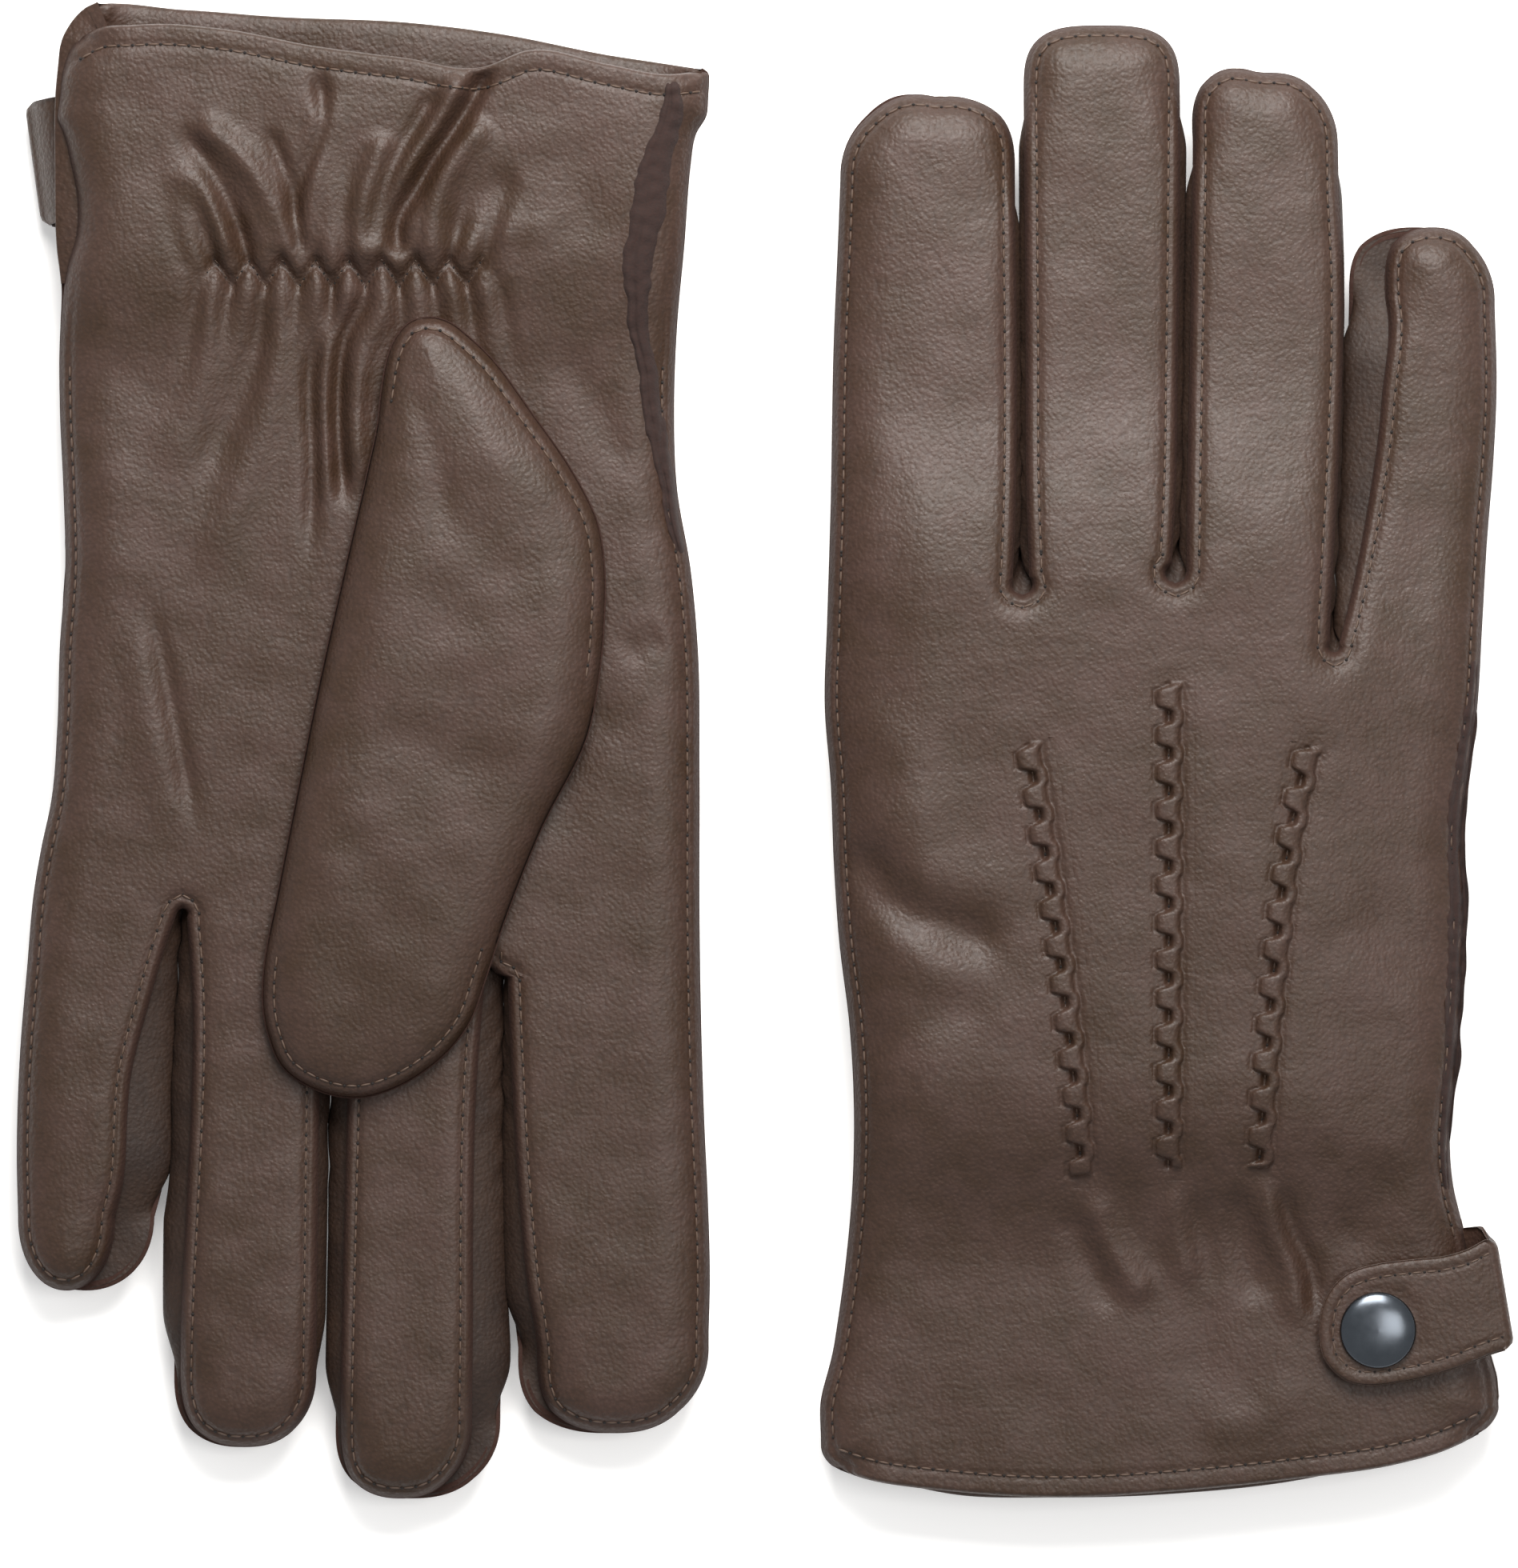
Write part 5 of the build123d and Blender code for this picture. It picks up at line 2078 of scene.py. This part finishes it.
PALM_FOLDS = (
    Fold(((-21.3, 9.0), (-15.6, 19.5), (-9.5, 29.0), (-5.8, 35.7), (-5.9, 43.0)), 1.6, -3.0, 0.1),
    Fold(((-17.9, 11.0), (-11.0, 21.3), (-5.4, 29.6), (-2.6, 37.2), (-3.6, 44.5)), 2.3, 2.0, 0.12),
    Fold(((-9.6, 44.0), (-10.4, 35.4), (-15.0, 26.0), (-21.0, 19.0)), 2.4, 1.5, 0.15),
    Fold(((-0.6, 42.0), (-3.4, 32.0), (-8.0, 22.1), (-13.0, 13.5)), 1.6, -1.5, 0.15),
    Fold(((0.5, 44.0), (1.8, 37.2), (-0.8, 29.6), (-4.0, 21.0)), 1.9, 1.3, 0.15),
    Fold(((7.5, 43.7), (9.2, 33.6), (7.6, 24.0), (5.9, 14.3)), 2.0, 1.3, 0.2),
    Fold(((10.2, 43.5), (10.8, 31.9), (6.8, 20.3), (7.5, 10.0)), 1.4, -1.6, 0.15),
    Fold(((13.2, 44.0), (15.0, 33.6), (20.8, 25.2), (28.0, 19.0)), 2.3, 1.6, 0.15),
    Fold(((11.5, 38.0), (12.6, 28.6), (16.3, 20.0)), 1.3, -1.1, 0.2),
    Fold(((18.0, 43.5), (21.8, 35.1), (25.8, 26.3), (31.0, 20.0)), 1.6, -1.2, 0.2),
    Fold(((21.5, 43.0), (25.3, 33.9), (30.8, 26.3)), 2.3, 1.0, 0.2),
    Fold(((-14.0, 40.0), (-19.0, 33.0), (-26.0, 28.0)), 3.0, -0.8, 0.25),
    Fold(((-13.0, 43.0), (-22.0, 38.5), (-33.0, 37.0)), 2.6, 0.5, 0.25),
    Fold(((6.8, 47.0), (8.9, 61.7), (8.3, 78.0), (9.6, 94.0)), 1.5, -1.5, 0.3),
    Fold(((4.0, 47.5), (6.2, 62.0), (6.4, 76.0), (7.0, 88.0)), 1.6, 1.4, 0.3),
    Fold(((-1.2, 46.5), (3.2, 55.4), (4.4, 66.8), (3.2, 84.0)), 1.4, -2.2, 0.2),
    Fold(((-4.0, 47.0), (0.2, 57.9), (1.4, 70.0), (0.6, 82.0)), 2.0, 1.6, 0.25),
    Fold(((11.3, 46.5), (13.6, 58.0), (19.5, 78.0), (28.0, 98.0)), 3.2, 1.0, 0.3),
    Fold(((15.7, 47.5), (20.6, 64.0), (28.0, 82.0)), 2.8, -0.9, 0.3),
    Fold(((21.5, 47.0), (26.5, 62.0), (35.0, 80.0)), 4.0, 0.8, 0.3),
    Fold(((35.6, 97.0), (31.0, 120.0), (27.2, 139.0)), 1.7, -0.98, 0.3),
    Fold(((39.6, 97.0), (35.0, 120.0), (31.2, 139.0)), 3.5, 0.65, 0.3),
    Fold(((44.0, 60.0), (40.0, 80.0), (42.0, 104.0)), 7.0, 0.65, 0.3),
    Fold(((-31.0, 56.0), (-38.0, 66.0), (-44.0, 80.0)), 3.5, -0.65, 0.3),
    Fold(((-44.0, 112.0), (-36.0, 122.0), (-30.0, 140.0)), 4.0, -0.78, 0.3),
    Fold(((-50.0, 104.0), (-42.0, 108.0)), 3.0, -0.65, 0.3),
    Fold(((-30.0, 20.0), (-36.0, 30.0), (-38.0, 44.0)), 5.0, -0.5, 0.3),
)
BACK_FOLDS = (
    Fold(((-12.6, 51.0), (-9.0, 42.0), (-2.0, 32.0)), 2.8, 1.3, 0.2),
    Fold(((-16.0, 50.0), (-12.6, 40.0), (-7.0, 30.0)), 2.8, -0.9, 0.25),
    Fold(((15.8, 54.0), (18.0, 45.0), (21.2, 37.0), (21.8, 27.0)), 2.2, 1.3, 0.25),
    Fold(((18.8, 54.0), (21.0, 45.0), (24.4, 37.5), (25.0, 29.0)), 1.7, -1.3, 0.25),
    Fold(((11.8, 53.0), (13.0, 43.0), (16.0, 31.0)), 2.8, -1.1, 0.25),
    Fold(((1.2, 53.0), (2.0, 44.0), (4.5, 34.0)), 2.4, 0.9, 0.3),
    Fold(((5.0, 52.0), (6.6, 43.0), (9.0, 33.0)), 2.4, -0.6, 0.3),
    Fold(((-52.0, 110.0), (-44.5, 99.0), (-36.0, 94.6), (-25.0, 90.6)), 3.8, -1.7, 0.2),
    Fold(((-50.0, 119.0), (-42.0, 107.0), (-30.0, 101.0), (-20.0, 99.0)), 5.0, 0.8, 0.25),
    Fold(((-50.0, 98.0), (-42.0, 90.0), (-30.0, 85.0)), 5.0, 0.6, 0.3),
    Fold(((-51.0, 72.0), (-38.0, 80.0), (-26.0, 82.0)), 4.0, -0.7, 0.3),
    Fold(((-48.0, 134.0), (-42.0, 118.0), (-37.0, 106.0)), 4.5, 0.6, 0.3),
    Fold(((30.0, 100.0), (40.0, 92.0), (47.0, 80.0)), 4.5, -0.6, 0.3),
    Fold(((26.0, 92.0), (36.0, 84.0), (46.0, 80.0)), 4.5, 0.5, 0.3),
    Fold(((22.0, 22.0), (16.0, 14.0), (4.0, 11.0)), 4.0, 0.7, 0.3),
    Fold(((4.0, 38.0), (6.0, 26.0), (2.0, 16.0)), 4.0, -0.5, 0.3),
    Fold(((38.0, 58.0), (34.0, 48.0), (28.0, 40.0)), 4.0, -0.6, 0.3),
)
PALM_STRIP = SeamStrip(
    Face.PALM,
    ((12.0, -51.0), (18, -50.6), (28, -47.8), (37, -46.2), (45, -45.0), (51, -45.0), (58, -46.2), (66, -47.4),
     (80, -50.0), (92, -52.0)),
    ((12, 1.0), (18, 1.8), (28, 2.8), (37, 2.8), (45, 2.4), (51, 1.8), (58, 1.6), (66, 1.7), (80, 1.35),
     (92, 0.8)),
    0.9, 3)
BACK_STRIP = SeamStrip(
    Face.BACK,
    ((50.0, 46.9), (60, 46.3), (72, 47.3), (85, 47.9), (98, 48.4), (111, 48.1), (125, 49.9), (140, 51.5)),
    ((50, 0.6), (60, 1.1), (75, 1.5), (90, 1.7), (105, 1.6), (118, 1.5), (130, 1.2), (140, 0.7)),
    0.5, 13)

RIGHT_CUT = GloveCut(
    side=Side.RIGHT,
    back_folds=BACK_FOLDS,
    palm_folds=PALM_FOLDS,
    strips=(PALM_STRIP, BACK_STRIP),
    radial=RIGHT_RADIAL,
    ulnar=RIGHT_ULNAR,
    cuff_back=((-57, 5.9), (-50, 3.6), (-35, 1.4), (-17.5, 0.4), (1.7, 1.4), (23.9, 3.7), (38.6, 5.9),
               (45.6, 7.8),
               (50.5, 9.8), (56, 12.4)),
    cuff_palm=((-57, 6.3), (-50, 4.0), (-35, 0.2), (-17.5, -0.4), (1.7, 0.2), (23.9, 2.7), (38.6, 6.2),
               (49.7, 10.4),
               (56, 13.4)),
    crotches=(
        Crotch((-23.5, 149.1), (-21.0, 158.0)),
        Crotch((1.7, 151.0), (4.5, 161.0)),
        Crotch((27.8, 139.6), (30.0, 148.0), bulb=1.0),
    ),
    fingers=(
        FingerCut("index", 179.9, RIGHT_RADIAL, ((149, -25.3), (163, -24.7), (190, -24.4), (210, -24.6)),
                  231.9, 13.4, palm_in=(((0, 0.0),), ((0, 2.8),)), columns=46, lean=1.7,
                  squareness=2.45, tip_bumps=((88, 7, -0.3), (110, 16, 0.4))),
        FingerCut("middle", 181.0, ((155, -22.3), (163, -22.6), (190, -22.7), (225, -22.9)),
                  ((155, 1.0), (165, 1.6), (190, 2.2), (230, 2.7)), 243.5, 11.0, squareness=3.2, columns=40),
        FingerCut("ring", 180.4, ((155, 3.6), (165, 3.8), (190, 4.4), (228, 5.1)),
                  ((143, 27.0), (150, 27.3), (170, 28.5), (190, 29.4), (203, 29.4), (215, 28.8)), 236.0, 12.0,
                  columns=40, lean=-1.9, squareness=2.6,
                  tip_bumps=((114, 18, 0.8), (86, 16, -0.35))),
        FingerCut("little", 163.0, ((140, 28.2), (150, 28.9), (170, 29.8), (205, 30.2)), RIGHT_ULNAR,
                  210.1, 12.0,
                  back_in=(((139, 0.0), (145, 1.2), (162, 3.9), (181, 6.0), (200, 6.2), (206, 3.5)),
                           ((0, 0.0),)),
                  palm_in=(((0, 0.8),), ((0, 0.0),)), columns=36, lean=-1.8),
    ),
)

LEFT_CUT = GloveCut(
    side=Side.LEFT,
    ulnar_palm=((-30, 50.0), (5, 50.2), (14, 50.7), (24, 49.0), (33, 47.4), (38, 47.6), (43, 49.0),
                (49, 49.9),
                (57, 50.5), (66, 50.5), (80, 49.9), (93, 49.6), (106, 50.5), (119, 50.9), (132, 52.0),
                (139, 53.5),
                (146, 54.7), (159, 55.9), (172, 57.0), (192, 57.6), (200, 57.4)),
    corners_back=(1.2, 6.0),
    corners_palm=(1.2, 3.5),
    back_folds=BACK_FOLDS,
    palm_folds=PALM_FOLDS,
    strips=(PALM_STRIP, BACK_STRIP),
    radial=LEFT_RADIAL,
    ulnar=LEFT_ULNAR,
    cuff_back=((-57, 11.0), (-54, 10.3), (-38, 7.6), (-23, 4.6), (-8, 2.7), (15, 1.6), (30, 0.5),
               (45, 0.1), (52, 3.0)),
    cuff_palm=((-57, 10.9), (-49.8, 11.9), (-40, 10.2), (-27, 8.0), (-19.6, 10.7), (-6.6, 9.2), (8.6, 7.2),
               (22.1, 4.6), (37.3, 3.8), (46, 5.2), (49, 7.5), (51, 12.0)),
    crotches=(
        Crotch((-23.5, 149.1), (-20.6, 159.0), bulb=1.0),
        Crotch((2.2, 151.0), (5.8, 163.0)),
        Crotch((28.3, 141.0), (30.1, 149.1), bulb=1.0),
    ),
    fingers=(
        FingerCut("index", 179.9, LEFT_RADIAL,
                  ((150, -24.0), (175, -23.0), (200, -22.8), (212, -23.3), (222, -24.5)),
                  236.0, 14.0, back_in=(((0, 0.0),), ((0, 0.8),)),
                  palm_in=(((0, 0.0),), ((159, 0.0), (177, 1.4), (197, 2.8), (217, 4.0))), columns=46,
                  lean=1.9),
        FingerCut("middle", 181.0, ((155, -22.0), (190, -22.6), (218, -22.9), (232, -22.7)),
                  ((155, 4.4), (200, 5.6), (232, 6.3)), 246.8, 12.5, back_in=(((0, 0.6),), ((0, 1.4),)),
                  palm_in=(((159, 2.2), (177, 4.0), (200, 5.0), (232, 5.2)), ((0, 2.3),)), columns=42,
                  lean=1.4),
        FingerCut("ring", 180.4, ((155, 6.2), (185, 6.8), (217, 7.2), (228, 7.4)),
                  ((143, 29.6), (160, 30.4), (185, 31.8), (210, 32.7), (228, 32.6)), 238.3, 12.5,
                  back_in=(((0, 1.0),), ((0, 1.0),)),
                  palm_in=(((0, 0.9),), ((149, 0.5), (165, 2.3), (200, 3.0), (228, 2.0))), columns=40,
                  lean=0.8),
        FingerCut("little", 163.0, ((141, 28.8), (155, 31.4), (175, 32.8), (195, 33.0), (201, 34.5)),
                  LEFT_ULNAR,
                  212.4, 12.0, back_in=(((0, 0.8),), ((0, 0.0),)),
                  palm_in=(((149, 0.4), (164, 3.2), (174, 5.4), (184, 6.8), (201, 7.2)), ((0, 0.0),)),
                  squareness=2.1, columns=36),
    ),
)


class Studio:
    """The floor, the lights and the camera."""

    VIEW_MM = 258.7
    CAMERA_HEIGHT = 1.7
    LOOK_AT = (-0.00086, -0.0053, 0.012)

    def build(self) -> None:
        """Makes the stage."""
        self.floor()
        self.lights()
        self.camera()
        bpy.context.scene.view_settings.view_transform = "Standard"

    def floor(self) -> None:
        """A plain white tabletop."""
        bpy.ops.mesh.primitive_plane_add(size=4.0, location=(0, 0, 0))
        floor = bpy.context.object
        floor.name = "tabletop"
        mat = bpy.data.materials.new("white_tabletop")
        mat.use_nodes = True
        mat.node_tree.nodes["Principled BSDF"].inputs["Base Color"].default_value = linear("#f6f6f6")
        mat.node_tree.nodes["Principled BSDF"].inputs["Roughness"].default_value = 0.9
        mat.node_tree.nodes["Principled BSDF"].inputs["Emission Color"].default_value = (1, 1, 1, 1)
        mat.node_tree.nodes["Principled BSDF"].inputs["Emission Strength"].default_value = 0.22
        floor.data.materials.append(mat)

    def lights(self) -> None:
        """A soft white surround and one large soft light beyond the fingertips of the right glove."""
        world = bpy.data.worlds.new("surround")
        bpy.context.scene.world = world
        world.use_nodes = True
        world.node_tree.nodes["Background"].inputs["Color"].default_value = (1, 1, 1, 1)
        world.node_tree.nodes["Background"].inputs["Strength"].default_value = 0.6
        for name, place, size, power in (
            ("window", (0.04, 0.46, 0.50), 0.42, 9.6),
            ("overhead", (0.42, -0.02, 1.1), 0.42, 3.8),
        ):
            lamp = bpy.data.lights.new(name, "AREA")
            lamp.shape = "SQUARE"
            lamp.size = size
            lamp.energy = power
            lamp.color = (1.0, 0.972, 0.94)
            obj = bpy.data.objects.new(name, lamp)
            obj.location = place
            obj.rotation_euler = (Vector((0, 0, 0)) - Vector(place)).to_track_quat("-Z", "Y").to_euler()
            bpy.context.scene.collection.objects.link(obj)

    def camera(self) -> None:
        """A long lens straight above the pair."""
        data = bpy.data.cameras.new("camera")
        data.sensor_width = 36.0
        data.lens = 36.0 * (self.CAMERA_HEIGHT - self.LOOK_AT[2]) / (self.VIEW_MM * MM)
        data.clip_end = 20.0
        camera = bpy.data.objects.new("camera", data)
        camera.location = (self.LOOK_AT[0], self.LOOK_AT[1], self.CAMERA_HEIGHT)
        bpy.context.scene.collection.objects.link(camera)
        bpy.context.scene.camera = camera


def main() -> None:
    """Builds the stage and both gloves."""
    logging.basicConfig(level=logging.INFO, format="%(message)s")
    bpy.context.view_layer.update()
    Studio().build()
    finishes = Finishes.make()
    stitches = StitchRow(finishes.thread, finishes.hole)
    for cut in (RIGHT_CUT, LEFT_CUT):
        GloveBuilder(cut, finishes, stitches).build()
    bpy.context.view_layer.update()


if __name__ == "__main__":
    main()
